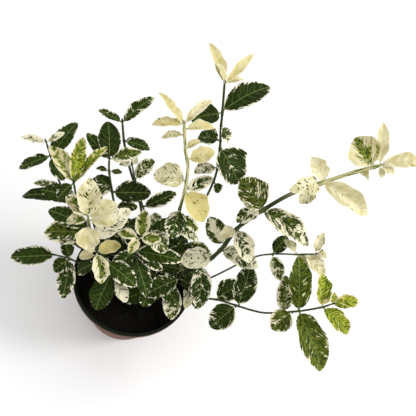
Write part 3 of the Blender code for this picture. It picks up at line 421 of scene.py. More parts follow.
# The table repeats the solids' shoots, in millimetres and degrees. It gives a stem's thickness, its
# route from its buried end to its tip and how far up it turns pale, and for each leaf the joint that
# it grows from, its length with the stalk, its width, heading, pitch and roll, and its look.
SHOOTS = {
    "tall_back_shoot": {
        "thickness": 2.6,
        "route": [(16, 24, 64), (16, 24, 84), (25, 56, 150), (26, 78, 200), (18, 93, 227), (11, 101, 243),
                  (6, 108, 255), (-3, 119, 277)],
        "leaves": [
            (7, 35, 12, 145, 28, 0, "tufted"), (7, 39, 9, 76, 12, 20, "tufted"),
            (7, 19, 7, 52, 0, 0, "cream"), (7, 19, 8, 165, 45, 0, "cream"),
            (6.1, 51, 23, 59, 8, 0, "edged"), (6, 27, 24, -142, -15, 10, "veined"),
            (4.4, 21, 23, -173, -20, 0, "streaked"), (4.1, 36, 38, -25, -25, 0, "specked"),
            (3.4, 22, 18, -137, -5, 20, "marbled"), (3, 12, 10, -23, -30, 0, "dark"),
            (5.3, 16, 12, -30, -30, 0, "streaked"),
        ],
    },
    "cream_middle_shoot": {
        "thickness": 3.2, "pale": 0.55,
        "route": [(6, 12, 64), (6, 12, 84), (12, 26, 140), (14, 34, 178), (11, 42, 192), (8, 50, 210),
                  (2, 59, 232), (-6, 65, 245), (-15, 71, 268)],
        "leaves": [
            (8, 32, 9, 168, 28, 0, "tufted"), (8, 32, 9, 71, 15, 0, "cream"),
            (8, 26, 12, -151, -5, 20, "tufted"), (7.6, 19, 9, -146, -12, 0, "flecked"),
            (7.8, 26, 11, 39, 0, 0, "tufted"), (7, 15, 8, 60, 15, 0, "tufted"),
            (6.4, 25, 16, 47, 12, 0, "tufted"), (5.4, 29, 25, -167, -8, 0, "flecked"),
            (5, 32, 25, -22, -22, 0, "yellow"), (5, 28, 13, 53, 12, 0, "marbled"),
            (4, 28, 20, -76, -28, 0, "streaked"), (3.5, 23, 11, -5, -12, 0, "margined"),
            (2.8, 26, 13, 5, -12, 0, "splashed"),
        ],
    },
    "long_right_shoot": {
        "thickness": 4.2, "pale": 0.66,
        "route": [(26, 12, 64), (26, 12, 84), (40, 20, 112), (55, 30, 140), (62, 42, 160), (65, 56, 182),
                  (71, 64, 196), (76, 70, 208), (90, 84, 232), (108, 97, 250), (125, 111, 262),
                  (142, 124, 272)],
        "leaves": [
            (7.1, 35, 30, 164, 20, -10, "greened"), (7, 25, 16, -137, -30, 0, "splashed"),
            (7, 53, 27, -5, -7, 0, "splashed"), (5, 17, 14, -125, -8, 0, "cream"),
            (5, 33, 20, -39, -14, 0, "marbled"), (3.9, 40, 22, 6, -8, 0, "marbled"),
            (3.4, 31, 24, -145, -8, 0, "whitened"), (4.2, 30, 20, 154, 20, -12, "centred"),
            (9.1, 24, 18, 153, 20, -15, "cream"), (8.9, 33, 19, -131, 14, -15, "flecked"),
            (8.7, 19, 16, -99, -18, 0, "flecked"), (9, 49, 20, -5, -6, 20, "cream"),
            (10.8, 29, 32, 150, 12, -22, "limed"), (11, 38, 13, 110, 20, 0, "cream"),
            (11, 44, 15, 29, 6, 0, "cream"), (11, 11, 9, -56, -20, 0, "cream"),
            (11, 14, 11, -8, -10, 0, "cream"), (10.2, 15, 12, 15, -20, 0, "cream"),
            (3, 38, 21, -170, -5, 0, "dark"),
        ],
    },
    "thin_right_shoot": {
        "thickness": 1.8,
        "route": [(45, 20, 64), (45, 20, 84), (64, 21, 126), (91, 51, 150), (104, 51, 180), (122, 55, 194),
                  (136, 61, 200)],
        "leaves": [
            (4, 23, 14, 75, 12, 0, "dark"), (4, 26, 14, -38, -22, 0, "splashed"),
            (6, 21, 10, 95, 24, 0, "flecked"), (5.4, 27, 16, -11, -14, 0, "flecked"),
            (5, 17, 10, 160, 12, 0, "flecked"), (6, 11, 10, 4, 4, 0, "flecked"),
            (5, 19, 10, -9, -22, 0, "flecked"),
        ],
    },
    "low_right_shoot": {
        "thickness": 2.0,
        "route": [(42, 2, 64), (42, 2, 84), (60, 2, 112), (80, 5, 132), (100, 5, 144), (114, 4, 155),
                  (125, 5, 164), (145, 12, 183), (159, 19, 198), (164, 23, 203)],
        "leaves": [
            (4, 40, 23, 100, 22, 0, "specked"), (3.9, 32, 24, -115, -32, 0, "specked"),
            (6.5, 33, 17, 116, 26, 0, "greened"), (7, 48, 24, 118, 20, 0, "grassy"),
            (6.8, 24, 21, -115, -26, 0, "greened"), (7, 56, 29, -38, -15, 0, "grassy"),
            (8, 30, 18, 121, 28, 0, "lime"), (8, 35, 18, -10, -16, 20, "lime"),
            (9, 26, 14, 32, 8, 0, "lime"), (9, 12, 8, 113, 45, 0, "lime"),
            (3, 35, 24, 57, -6, 0, "specked"),
        ],
    },
    "right_rim_sprig": {
        "thickness": 1.8,
        "route": [(36, 12, 64), (36, 12, 84), (46, 16, 104), (52, 20, 124), (53, 26, 140)],
        "leaves": [
            (4, 42, 21, -62, -32, 0, "streaked"), (3.5, 38, 17, -45, -24, 0, "specked"),
            (2.6, 30, 16, -64, -18, 0, "flecked"),
        ],
    },
    "front_right_sprig": {
        "thickness": 2.0,
        "route": [(26, -16, 64), (26, -16, 84), (36, -2, 106), (40, 9, 124), (40, 15, 136)],
        "leaves": [
            (3, 37, 21, -126, -6, 0, "specked"), (2.4, 32, 19, -64, -12, 0, "splashed"),
            (4, 28, 17, -170, 10, 0, "dark"), (3, 28, 17, 15, -25, 0, "dark"),
            (4, 30, 18, 105, 5, 0, "dark"),
        ],
    },
    "centre_rosette_shoot": {
        "thickness": 2.2,
        "route": [(4, -14, 64), (4, -14, 84), (-6, 0, 116), (-8, 5, 145), (-9, 9, 168)],
        "leaves": [
            (4, 26, 14, 108, 20, 0, "mixed"), (4, 20, 12, 20, 14, 0, "mixed"),
            (4, 17, 11, -95, -10, 0, "limed"), (4, 20, 12, -165, 0, 0, "mixed"),
            (3, 45, 19, 16, 6, 0, "edged"), (2.8, 42, 18, -40, -24, 0, "dark"),
            (3, 33, 12, 0, -20, 20, "edged"), (3, 26, 15, -120, -20, 0, "dark"),
            (2.4, 34, 20, 170, 5, 0, "dark"), (3, 34, 20, 135, 5, 0, "dark"),
        ],
    },
    "front_sprig": {
        "thickness": 1.8,
        "route": [(-5, -22, 64), (-5, -22, 84), (-9, -21, 108), (-18, -20, 126), (-26, -17, 142)],
        "leaves": [
            (4, 35, 20, -8, -7, 0, "edged"), (3, 36, 23, -85, -28, 0, "veined"),
            (2.6, 25, 14, -28, -18, 0, "whitened"), (3, 22, 14, 168, 12, 0, "dark"),
        ],
    },
    "cream_front_sprig": {
        "thickness": 1.8,
        "route": [(-20, -21, 64), (-20, -21, 84), (-25, -24, 112), (-32, -23, 134), (-37, -17, 154)],
        "leaves": [
            (4, 29, 17, -48, -26, 0, "hearted"), (4, 23, 14, 45, 6, 0, "yellow"),
            (3.8, 16, 10, -152, -18, 0, "cream"), (3.3, 22, 15, -135, -38, 0, "dark"),
            (4, 15, 10, 178, 26, 0, "cream"),
        ],
    },
    "cream_left_shoot": {
        "thickness": 2.6, "pale": 0.88,
        "route": [(-16, -6, 64), (-16, -6, 84), (-29, -9, 118), (-38, -12, 150), (-46, -12, 174),
                  (-52, -9, 198)],
        "leaves": [
            (5, 27, 19, 52, 16, 0, "cream"), (5, 33, 23, 119, 22, 0, "flecked"),
            (5, 26, 16, 165, 14, 0, "hearted"), (4.8, 19, 13, -150, -8, 0, "hearted"),
            (4.6, 22, 23, -62, -24, 0, "cream"), (4, 41, 25, -156, -8, 0, "margined"),
            (3.7, 42, 19, 67, 18, 0, "whitened"), (4.4, 40, 17, -178, -6, 0, "dark"),
            (4.8, 22, 14, 28, 0, 0, "cream"), (3, 38, 20, 172, -5, 0, "dark"),
        ],
    },
    "lime_tipped_shoot": {
        "thickness": 2.2,
        "route": [(-20, 8, 64), (-20, 8, 84), (-42, 0, 120), (-58, 0, 150), (-72, 9, 174), (-80, 16, 190)],
        "leaves": [
            (5, 39, 17, 154, 14, 0, "halved"), (5, 42, 15, 109, 18, 0, "lime"),
            (5, 45, 11, 79, 13, 0, "lime"), (5, 20, 13, -110, -26, 0, "dark"),
            (4, 34, 18, -172, -5, 0, "dark"), (4, 32, 18, 12, 0, 0, "cream"),
        ],
    },
    "far_left_shoot": {
        "thickness": 2.2,
        "route": [(-28, -4, 64), (-28, -4, 84), (-54, -4, 118), (-88, 17, 150), (-106, 29, 164),
                  (-116, 37, 173), (-124, 43, 180)],
        "leaves": [
            (6, 23, 8, -158, 10, 0, "marbled"), (6, 19, 7, 58, 20, 0, "marbled"),
            (5, 40, 18, 84, 15, 0, "dark"), (5, 31, 13, -133, -18, 0, "dark"),
            (5, 25, 15, -28, -25, 0, "dark"), (3, 42, 15, -159, -14, 10, "dark"),
            (3.2, 29, 13, -170, -4, 15, "splashed"),
        ],
    },
    "left_rim_sprig": {
        "thickness": 2.0,
        "route": [(-38, -16, 64), (-38, -16, 84), (-46, -18, 104), (-60, -22, 117), (-72, -27, 123)],
        "leaves": [
            (4, 43, 20, -152, -12, 0, "edged"), (3, 40, 18, -71, -34, 0, "specked"),
            (3, 19, 15, -115, -22, 0, "dark"), (3, 21, 13, 145, 34, 0, "dark"),
        ],
    },
    "back_left_shoot": {
        "thickness": 2.4,
        "route": [(-10, 22, 64), (-10, 22, 84), (-28, 24, 120), (-42, 29, 150), (-52, 37, 166),
                  (-62, 47, 181), (-66, 53, 190)],
        "leaves": [
            (6, 35, 21, 123, 22, 0, "dark"), (6, 30, 14, 44, 8, 0, "margined"),
            (6, 32, 12, 159, 8, 0, "dark"), (5, 12, 6, -165, 0, 0, "dark"), (5, 12, 6, 20, 12, 0, "dark"),
            (4, 24, 21, -172, 2, 0, "splashed"), (4, 36, 22, 32, 0, 0, "dark"),
            (4.2, 18, 12, 172, 8, 0, "dark"), (3.2, 22, 12, 36, -6, 0, "dark"),
        ],
    },
    "far_back_shoot": {
        "thickness": 2.6,
        "route": [(-2, 36, 64), (-2, 36, 84), (-16, 44, 120), (-30, 52, 150), (-52, 67, 174),
                  (-64, 77, 190), (-72, 86, 203)],
        "leaves": [
            (5, 25, 13, 17, -6, 0, "dark"), (6, 24, 10, -175, 8, 0, "dark"),
            (6, 39, 14, 69, 16, 0, "specked"), (5, 13, 6, 45, -10, 0, "dark"),
        ],
    },
    "short_back_shoot": {
        "thickness": 1.8,
        "route": [(10, 38, 64), (10, 38, 84), (-6, 42, 120), (-22, 46, 150), (-39, 56, 173),
                  (-47, 63, 182)],
        "leaves": [
            (5, 12, 6, -155, 0, 0, "splashed"), (5, 9, 6, 90, 28, 0, "splashed"),
            (4, 27, 15, 78, 14, 0, "splashed"), (3, 36, 14, 54, 7, 0, "specked"),
        ],
    },
    "middle_sprig": {
        "thickness": 2.0,
        "route": [(8, 0, 64), (8, 0, 84), (10, 12, 112), (2, 20, 142), (-5, 25, 160)],
        "leaves": [
            (4, 26, 20, -5, -15, 0, "splashed"), (4, 25, 17, -158, -6, 0, "dark"),
            (3.6, 28, 17, 60, 10, 0, "dark"), (2.5, 34, 20, -175, 0, 0, "dark"),
            (3, 34, 19, 110, 0, 0, "splashed"),
        ],
    },
    "low_middle_sprig": {
        "thickness": 1.8,
        "route": [(16, -6, 64), (16, -6, 84), (17, -8, 98), (20, -5, 110), (21, 0, 118)],
        "leaves": [
            (4, 32, 19, -20, -5, 0, "dark"), (4, 32, 19, 165, 0, 0, "dark"),
            (3, 22, 17, -85, -14, 0, "dark"), (3, 36, 21, 80, 0, 0, "dark"),
            (2, 26, 18, -130, -8, 0, "dark"), (2, 34, 20, 30, 0, 0, "dark"),
        ],
    },
    "low_back_sprig": {
        "thickness": 1.8,
        "route": [(26, 28, 64), (26, 28, 84), (28, 30, 100), (29, 33, 114), (28, 36, 126)],
        "leaves": [
            (4, 32, 19, -150, 0, 0, "dark"), (4, 32, 19, 20, 0, 0, "splashed"),
            (3, 28, 16, 145, 15, 0, "dark"), (3, 30, 17, -90, 20, 0, "dark"),
            (2, 36, 21, 110, 5, 0, "dark"), (2, 34, 20, 0, -5, 0, "dark"),
        ],
    },
    "low_left_sprig": {
        "thickness": 1.8,
        "route": [(-30, 16, 64), (-30, 16, 84), (-32, 14, 100), (-34, 13, 114), (-36, 12, 124)],
        "leaves": [
            (4, 32, 18, -30, 0, 0, "splashed"), (4, 32, 18, 150, 0, 0, "dark"),
            (3, 26, 15, -85, 10, 0, "dark"), (3, 34, 19, 100, 0, 0, "dark"),
            (2, 30, 18, -165, 0, 0, "dark"), (2, 32, 19, -10, 0, 0, "dark"),
        ],
    },
}

# A look is the share of the blade that is cream, how strongly cream lines its edge, how far green
# keeps to the midrib (or cream, where negative), how many green flecks a cream part has, how lime
# the green is, how yellow the cream is, and whether the leaf is young, thin and folded.
LOOKS = {
    "dark": (0.07, 0.5, 0.0, 0.0, 0.0, 0.1, False),
    "veined": (0.04, 0.3, 0.0, 0.0, 0.0, 0.1, False),
    "edged": (0.1, 0.95, 0.0, 0.0, 0.0, 0.1, False),
    "specked": (0.2, 0.6, 0.0, 0.0, 0.0, 0.1, False),
    "streaked": (0.3, 0.4, 0.0, 0.0, 0.0, 0.1, False),
    "grassy": (0.24, 0.3, 0.1, 0.0, 0.25, 0.4, False),
    "greened": (0.36, 0.4, 0.1, 0.0, 0.22, 0.3, False),
    "splashed": (0.4, 0.5, 0.0, 0.2, 0.12, 0.15, False),
    "marbled": (0.52, 0.6, 0.0, 0.4, 0.0, 0.15, False),
    "margined": (0.24, 1.2, 0.1, 0.0, 0.2, 0.1, False),
    "whitened": (0.7, 0.5, 0.0, 0.7, 0.0, 0.1, False),
    "centred": (0.3, 0.0, -0.7, 0.5, 0.1, 0.1, False),
    "mixed": (0.46, 0.9, 0.3, 0.4, 0.4, 0.35, False),
    "cream": (1.05, 0.6, 0.1, 0.3, 0.1, 0.25, True),
    "flecked": (0.85, 0.6, 0.1, 0.75, 0.1, 0.15, True),
    "yellow": (0.95, 0.8, 0.3, 0.4, 0.4, 0.8, True),
    "tufted": (1.05, 0.6, 0.1, 0.2, 0.3, 0.55, True),
    "hearted": (0.75, 0.7, 0.5, 0.6, 0.3, 0.2, True),
    "limed": (0.7, 0.5, 0.4, 0.5, 0.7, 0.4, True),
    "halved": (0.55, 0.2, 0.0, 0.0, 0.9, 0.4, True),
    "lime": (0.3, 0.5, 0.1, 0.0, 1.0, 0.8, True),
}
# The sizes by which the solids place their leaves, in millimetres, degrees and shares.
LEAF_STALK = 2.5
STALK_MOST = 0.2
LEAF_STALK_WIDTH = 1.6
LEAF_ARCH = 0.07
LEAF_FOLD = 14
YOUNG_FOLD = 28
LEAF_TOOTH = 0.04
LEAF_BASE_POWER = 0.55
LEAF_TIP_POWER = 0.68
LEAF_SWAY = 10
SWAY_STEP = 2.4
LEAF_THICKNESS = 0.65
LEAF_CLEARANCE = 0.25
POT_CLEARANCE = 0.8
SOIL_CLEARANCE = 2
MEETING_SHARE = 0.35
NUDGE_STEP = 4
NUDGE_RINGS = 11
STEM_TIP = 0.8
STEM_RING_STEP = 17
POT_SIDES = 36
SLAB_ROWS = 7


def route_point(route, joint):
    """The place on a stem, at a joint or between two. The buried first stretch is straight. Above it,
    between joints p1 and p2 with neighbours p0 and p3, the curve is the cubic whose slopes at p1
    and p2 are (p2 - p0) / 2 and (p3 - p1) / 2."""
    points = np.array(route, float)
    first = min(int(joint), len(points) - 2)
    share = joint - first
    p1, p2 = points[first], points[first + 1]
    if first == 0:
        return p1 + (p2 - p1) * share
    p0 = points[first - 1]
    p3 = points[first + 2] if first + 2 < len(points) else 2 * p2 - p1
    slope = (p2 - p0) * share
    bend = (2 * p0 - 5 * p1 + 4 * p2 - p3) * share**2
    twist = (-p0 + 3 * p1 - 3 * p2 + p3) * share**3
    return p1 + (slope + bend + twist) / 2


def leaf_axes(heading, pitch, roll):
    """Unit vectors along the leaf, across it to its left, and out of its upper face."""
    heading, pitch, roll = np.radians([heading, pitch, roll])
    along = np.array([np.cos(pitch) * np.cos(heading), np.cos(pitch) * np.sin(heading), np.sin(pitch)])
    left = np.array([-np.sin(heading), np.cos(heading), 0])
    up = np.cross(along, left)
    return along, left * np.cos(roll) + up * np.sin(roll), up * np.cos(roll) - left * np.sin(roll)


def stalk_share(length):
    """The share of the leaf's length that its stalk takes."""
    return min(LEAF_STALK / length, STALK_MOST)


def half_width(share, length, width):
    """Half the leaf's width at a share of its length: a narrow stalk, then a blade whose outline goes
    as t^a (1 - t)^b, t running from 0 at its base to 1 at its tip, widest at t = a / (a + b)."""
    t = np.clip((share - stalk_share(length)) / (1 - stalk_share(length)), 0, 1)
    peak = LEAF_BASE_POWER / (LEAF_BASE_POWER + LEAF_TIP_POWER)
    widest = peak**LEAF_BASE_POWER * (1 - peak) ** LEAF_TIP_POWER
    return width / 2 * t**LEAF_BASE_POWER * (1 - t) ** LEAF_TIP_POWER / widest


def blade_slab(base, row, start):
    """A closed coarse shell round the leaf beyond a share of its length, for crossing tests: rows of
    three points, the midrib's and the two edges', lifted and lowered by half the thickness."""
    _, length, width, heading, pitch, roll, look = row
    along, left, up = leaf_axes(heading, pitch, roll)
    fold = math.radians(YOUNG_FOLD if LOOKS[look][-1] else LEAF_FOLD)
    share = np.repeat(np.linspace(start, 1, SLAB_ROWS), 3)
    side = np.tile([-1.0, 0.0, 1.0], SLAB_ROWS)
    half = np.maximum(half_width(share, length, width), np.where(share < 0.5, LEAF_STALK_WIDTH / 2, 0))
    half = half * (1 + LEAF_TOOTH)
    rise = 4 * LEAF_ARCH * length * share * (1 - share) + np.abs(side) * half * math.sin(fold)
    middle = (base + np.outer(share * length, along) + np.outer(side * half * math.cos(fold), left)
              + np.outer(rise, up))
    lift = up * (LEAF_THICKNESS / 2 + LEAF_CLEARANCE)
    count = 3 * SLAB_ROWS
    a = (3 * np.arange(SLAB_ROWS - 1)[:, None] + np.arange(2)).ravel()
    faces = np.stack([a, a + 3, a + 4, a + 1], 1)
    b = (3 * np.arange(SLAB_ROWS - 1)[:, None] + np.array([0, 2])).ravel()
    ends = np.stack([b, b + 3, b + 3 + count, b + count], 1)
    return BVHTree.FromPolygons(np.concatenate([middle + lift, middle - lift]).tolist(),
                                np.concatenate([faces, faces + count, ends]).tolist())


def ring_shell(centres, radii, sides=8):
    """A tube of round level rings through these centres, for crossing tests."""
    angle = np.arange(sides) * 2 * np.pi / sides
    circle = np.stack([np.cos(angle), np.sin(angle), np.zeros(sides)], 1)
    points = np.concatenate([centre + radius * circle for centre, radius in zip(centres, radii)])
    quads = tube_faces(len(radii), sides)[0]
    return BVHTree.FromPolygons(points.tolist(), quads.tolist())


def settle_leaves():
    """Each shoot's leaves with their bases, turned as in the solids: a leaf that would cross another
    stem, the pot or a leaf already placed is tried at headings and pitches on widening rings round
    its own until it is free. Near their joints, leaves of one stem may meet."""
    stems = {}
    for name, shoot in SHOOTS.items():
        route = shoot["route"]
        length = sum(math.dist(a, b) for a, b in zip(route[1:], route[2:]))
        joints = [0.0] + np.linspace(1, len(route) - 1, round(length / STEM_RING_STEP)).tolist()
        thick = np.linspace(1, STEM_TIP, len(joints)) * shoot["thickness"]
        centres = [route_point(route, joint) for joint in joints]
        stems[name] = ring_shell(centres, thick / 2 + LEAF_CLEARANCE)
    inner = (pot_wall(POT_HEIGHT) - POT_WALL) / MM - POT_CLEARANCE
    rim, top = POT_HEIGHT / MM + POT_CLEARANCE, SOIL_TOP / MM + SOIL_CLEARANCE
    rows = [(POT_FOOT_RADIUS / MM + POT_CLEARANCE, 0), (POT_RIM_RADIUS / MM + POT_CLEARANCE, rim),
            (inner, rim), ((pot_wall(SOIL_TOP) - POT_WALL) / MM - POT_CLEARANCE, top), (0.1, top)]
    vessel = ring_shell([np.array([0, 0, z]) for _, z in rows], [radius for radius, _ in rows], POT_SIDES)
    placed = []
    settled = {}
    nudges = [(0, 0)] + [(ring * NUDGE_STEP * math.cos(angle), ring * NUDGE_STEP * math.sin(angle))
                         for ring in range(1, NUDGE_RINGS + 1)
                         for angle in np.radians([90, 270, 0, 180, 45, 135, 225, 315])]
    for name, shoot in SHOOTS.items():
        settled[name] = []
        others = [tree for stem, tree in stems.items() if stem != name] + [vessel]
        for number, row in enumerate(shoot["leaves"]):
            base = route_point(shoot["route"], row[0])
            row = (*row[:5], row[5] + LEAF_SWAY * math.sin(SWAY_STEP * number), row[6])
            for heading, pitch in nudges:
                tried = (*row[:3], row[3] + heading, row[4] + pitch, *row[5:])
                whole, outer = blade_slab(base, tried, 0.0), blade_slab(base, tried, MEETING_SHARE)
                crossed = any(whole.overlap(tree) for tree in others)
                crossed = crossed or bool(outer.overlap(stems[name]))
                for owner, its_whole, its_outer in placed:
                    if crossed:
                        break
                    mine, theirs = (outer, its_outer) if owner == name else (whole, its_whole)
                    crossed = bool(mine.overlap(theirs))
                if not crossed:
                    break
            placed.append((name, whole, outer))
            settled[name].append((base, tried))
    return settled


# The leaves. Each is a leathery oval blade on a short stalk, folded up a little along its midrib, its
# edge finely toothed and gently waved, with five or six side veins on each half that the blade
# quilts between. Young ones are softer, more folded and more ruffled, and curl at the tip.

# Sizes are in millimetres. The veins' spacing, the curl and the bow are shares of the length.
TOOTH_PITCH = 2.5
TOOTH_DEPTH = 0.5
TOOTH_RINGS = 3
VEIN_SPACING = 0.15
VEIN_LEAST = 2.8
VEIN_SLANT = 0.6
VEIN_BEND = 0.03
QUILT = 0.24
WAVE_TURNS = (1.1, 1.9)
SECOND_TURNS = 1.7
SECOND_WAVE = 0.4
TIP_CURL = 0.09
CURL_SHARES = (0.3, 1.0)
CURL_LIFT = 0.3
BLADE_THICK = 0.34
EDGE_THICK = 0.12
RIB_THICK = 0.55
RIB_HALF = 0.55
STALK_RINGS = 4
STALK_HALF = 0.62
TIP_HALF = 0.2
BLADE_ACROSS = 17
# How a grown leaf and a young one differ: the waving of the edge and of the outline, the shares of
# the teeth, the quilting and the curl, and the bow to one side.
GROWN_FORM = (0.1, 0.02, 1.0, 1.0, 0.8, 0.03)
YOUNG_FORM = (0.12, 0.06, 0.5, 1.3, 1.4, 0.06)
LEAF_DARK = "#060c01"
LEAF_GREEN = "#2d4408"
LEAF_GREY = "#4a661a"
LEAF_VEIN = "#8a9c55"
LEAF_CREAM = "#c6bd8d"
LEAF_IVORY = "#f3edd0"
LEAF_YELLOW = "#d2c272"
LEAF_WHITE = "#fbf6df"
# A painted highlight that brightens the cream of a leaf along its edge.
LEAF_EDGE_HIGHLIGHT = "#f7f2da"
LEAF_LIME = "#40590a"
LEAF_LIME_PALE = "#b0b535"
LEAF_UNDER = "#7f8d58"
# Patterns repeat this often in a millimetre, first across the side veins and then along them. The
# third number keeps leaves apart. Patches are about 7 x 8 mm, splashes 1.7 x 3.3 mm, breaks of the
# pale edge 2.5 x 4 mm, and flecks 2.4 x 3 mm, all drawn coarser than real ones so that they show.
PATCHES = (0.15, 0.12, 1.0)
SPLASHES = (0.58, 0.3, 1.0)
EDGE_BREAKS = (0.4, 0.25, 1.0)
FLECKS = (0.42, 0.34, 1.0)
NET_CELLS = 0.75
PATCH_WEIGHT, SPLASH_WEIGHT = 0.42, 0.58


def leaf_surface(base, row, seed):
    """One leaf as a closed tube of flat rings along its midrib, with what its material reads.

    At share t of the length and side s from -1 to 1 the middle surface is
    base + t L along + s w cos(fold) left + (4 a t (1 - t) L + |s| w sin(fold)) up, with w the half
    width grown at the edge by a saw of teeth. To its height are added an edge wave
    s^2 sin(2 pi (k t + phase)) with a shorter, lower one, a quilting -cos(2 pi q / spacing) between
    side veins, q being the distance along less the slant times that across, and a curl of the tip
    that goes as t^4. The whole bows to one side as sin(pi t). The two faces lie half the thickness
    above and below, thick at the midrib and thin at the edge.
    """
    _, length, width, heading, pitch, roll, look = row
    along, left, up = leaf_axes(heading, pitch, roll)
    cover, margin, heart, fleck, lime, yellow, young = LOOKS[look]
    wave, uneven, teeth_share, quilt_share, curl_share, bow_share = YOUNG_FORM if young else GROWN_FORM
    draw = np.random.default_rng(seed)
    fold = math.radians(YOUNG_FOLD if young else LEAF_FOLD)
    stalk = stalk_share(length)
    rings = TOOTH_RINGS * max(5, round(length * (1 - stalk) / TOOTH_PITCH))
    blade_rings = stalk + (1 - stalk) * np.arange(rings) / rings
    t = np.concatenate([np.linspace(0, stalk, STALK_RINGS)[:-1], blade_rings])
    blade_t = np.clip((t - stalk) / (1 - stalk), 0, 1)
    saw = np.where(t < stalk, 0, (np.arange(len(t)) % TOOTH_RINGS) / 2 - 0.5)
    s = np.cos(np.linspace(np.pi, 0, BLADE_ACROSS))
    s = np.sign(s) * np.abs(s) ** 0.85
    half = half_width(t, length, width)
    t2, s2 = t[:, None], s[None]
    phase, turns = draw.uniform(0, 1, 4), draw.uniform(*WAVE_TURNS)
    first_wave = 2 * np.pi * (turns * blade_t[:, None] + np.where(s2 < 0, phase[0], phase[1]))
    second_wave = 2 * np.pi * (SECOND_TURNS * turns * blade_t[:, None] + np.where(s2 < 0, phase[2], phase[3]))
    least = np.where(t2 < 0.5, STALK_HALF, TIP_HALF)
    half2 = np.maximum(half[:, None] * (1 + uneven * np.sin(second_wave + 1)), least)
    teeth = TOOTH_DEPTH * teeth_share * (saw * np.minimum(1, half / 3))[:, None] * np.abs(s2) ** 6
    y = s2 * np.maximum(half2 + teeth, least)
    x = t2 * length + 0 * y
    soft = np.sqrt(s2**2 + 0.01) - 0.1
    height = 4 * LEAF_ARCH * length * t2 * (1 - t2) + soft * half2 * math.sin(fold)
    height = height + wave * half2 * s2**2 * (np.sin(first_wave) + SECOND_WAVE * np.sin(second_wave))
    spacing = max(VEIN_SPACING * length, VEIN_LEAST)
    q = x - stalk * length - VEIN_SLANT * np.abs(y) - VEIN_BEND * np.abs(y) ** 2
    blade = np.clip(half2 - STALK_HALF, 0, 1)
    quilt = QUILT * quilt_share * blade * np.clip(4 * (1 - np.abs(s2)), 0, 1)
    height = height - quilt * np.cos(2 * np.pi * q / spacing) * (1 - np.exp(-((y / 1.2) ** 2)))
    curl = draw.uniform(*CURL_SHARES) * curl_share
    height = height - TIP_CURL * curl * length * t2**4 + TIP_CURL * curl * length * CURL_LIFT * t2**2
    bow = draw.uniform(-1, 1) * bow_share * length * np.sin(np.pi * t2)
    rib = (RIB_THICK * (1 - 0.7 * t2)) * np.exp(-((y / RIB_HALF) ** 2)) * np.clip(t2 / stalk, 0, 1)
    body = np.where(t2 < stalk, 1.0, BLADE_THICK + (EDGE_THICK - BLADE_THICK) * np.abs(s2) ** 3)
    stalk_round = np.where(t2 < stalk, np.sqrt(np.clip(1 - 0.9 * s2**2, 0, 1)), 1.0)
    above = height + body * stalk_round / 2
    below = height - body * stalk_round / 2 - rib
    across = y * math.cos(fold) + bow

    def side(level):
        """The places of one face: base + x along + across left + level up."""
        return base + x[..., None] * along + across[..., None] * left + level[..., None] * up

    ring = np.concatenate([side(above)[:, ::-1], side(below)], 1)
    tip = base + length * along - TIP_CURL * curl * length * (1 - CURL_LIFT) * up
    points = np.concatenate([ring.reshape(-1, 3), tip[None]])
    quads, first, last = tube_faces(len(t), 2 * len(s))
    fan = np.stack([last[0], np.roll(last[0], -1), np.full(2 * len(s), len(points) - 1)], 1)

    def both(value, at_tip):
        """A value at every point: ring by ring for the upper face from its last side back, then for
        the lower face, and last at the tip."""
        value = np.broadcast_to(value, x.shape)
        return np.append(np.concatenate([value[:, ::-1], value], 1).ravel(), at_tip)

    # The seed, spread out, keeps the patterns of the leaves apart.
    apart = 7.3 * seed
    sign = np.where(s2 < 0, -1.0, 1.0)
    veins = np.stack([both(q, q[-1, 0]), both(sign * np.abs(y), 0), both(apart + 0 * y, apart)], 1)
    edge = both((1 - np.abs(s2)) * half2, 0)
    under = np.append(np.concatenate([np.zeros(x.shape), np.ones(x.shape)], 1).ravel(), 0)
    count = len(points)
    return {
        "points": points, "faces": [quads, first, fan], "veins": veins,
        "shape": np.stack([both(np.abs(s2), 0), edge, np.zeros(count)], 1),
        "colouring": np.tile([cover, margin, heart], (count, 1)),
        "tone": np.tile([fleck, lime, yellow], (count, 1)),
        "build": np.stack([np.full(count, spacing), under, np.full(count, float(young))], 1),
    }


def joined(parts):
    """Several surfaces as one: points stacked, and each part's face indices moved on by the number of
    points before it. Faces are gathered by their size."""
    start = 0
    by_size = {}
    for part in parts:
        for block in part["faces"]:
            by_size.setdefault(block.shape[1], []).append(block + start)
        start += len(part["points"])
    points = np.concatenate([part["points"] for part in parts])
    return points, [np.concatenate(blocks) for blocks in by_size.values()]


def give(piece, parts, names):
    """Stores these three-part values at each point of the piece, for its material to read."""
    for name in names:
        values = np.concatenate([part[name] for part in parts])
        attribute = piece.data.attributes.new(name, "FLOAT_VECTOR", "POINT")
        attribute.data.foreach_set("vector", values.astype(np.float32).ravel())


leaf, tree, shader = new_material("euonymus leaf")
# A waxy evergreen blade: dark, satin and veined where it is green, matt ivory where the green fails,
# with a band of grey-green between. Patches run along the side veins and end crisply at them.
veins_at, shape_at, colour_at, tone_at, build_at = [
    add(tree, "Attribute", {}, "Vector", attribute_name=name)
    for name in ("veins", "shape", "colouring", "tone", "build")]
q, across, seed = add(tree, "SeparateXYZ", {0: veins_at}, None)
side, from_edge, _ = add(tree, "SeparateXYZ", {0: shape_at}, None)
cover, margin, heart = add(tree, "SeparateXYZ", {0: colour_at}, None)
fleck, lime, yellow = add(tree, "SeparateXYZ", {0: tone_at}, None)
spacing, under, young = add(tree, "SeparateXYZ", {0: build_at}, None)

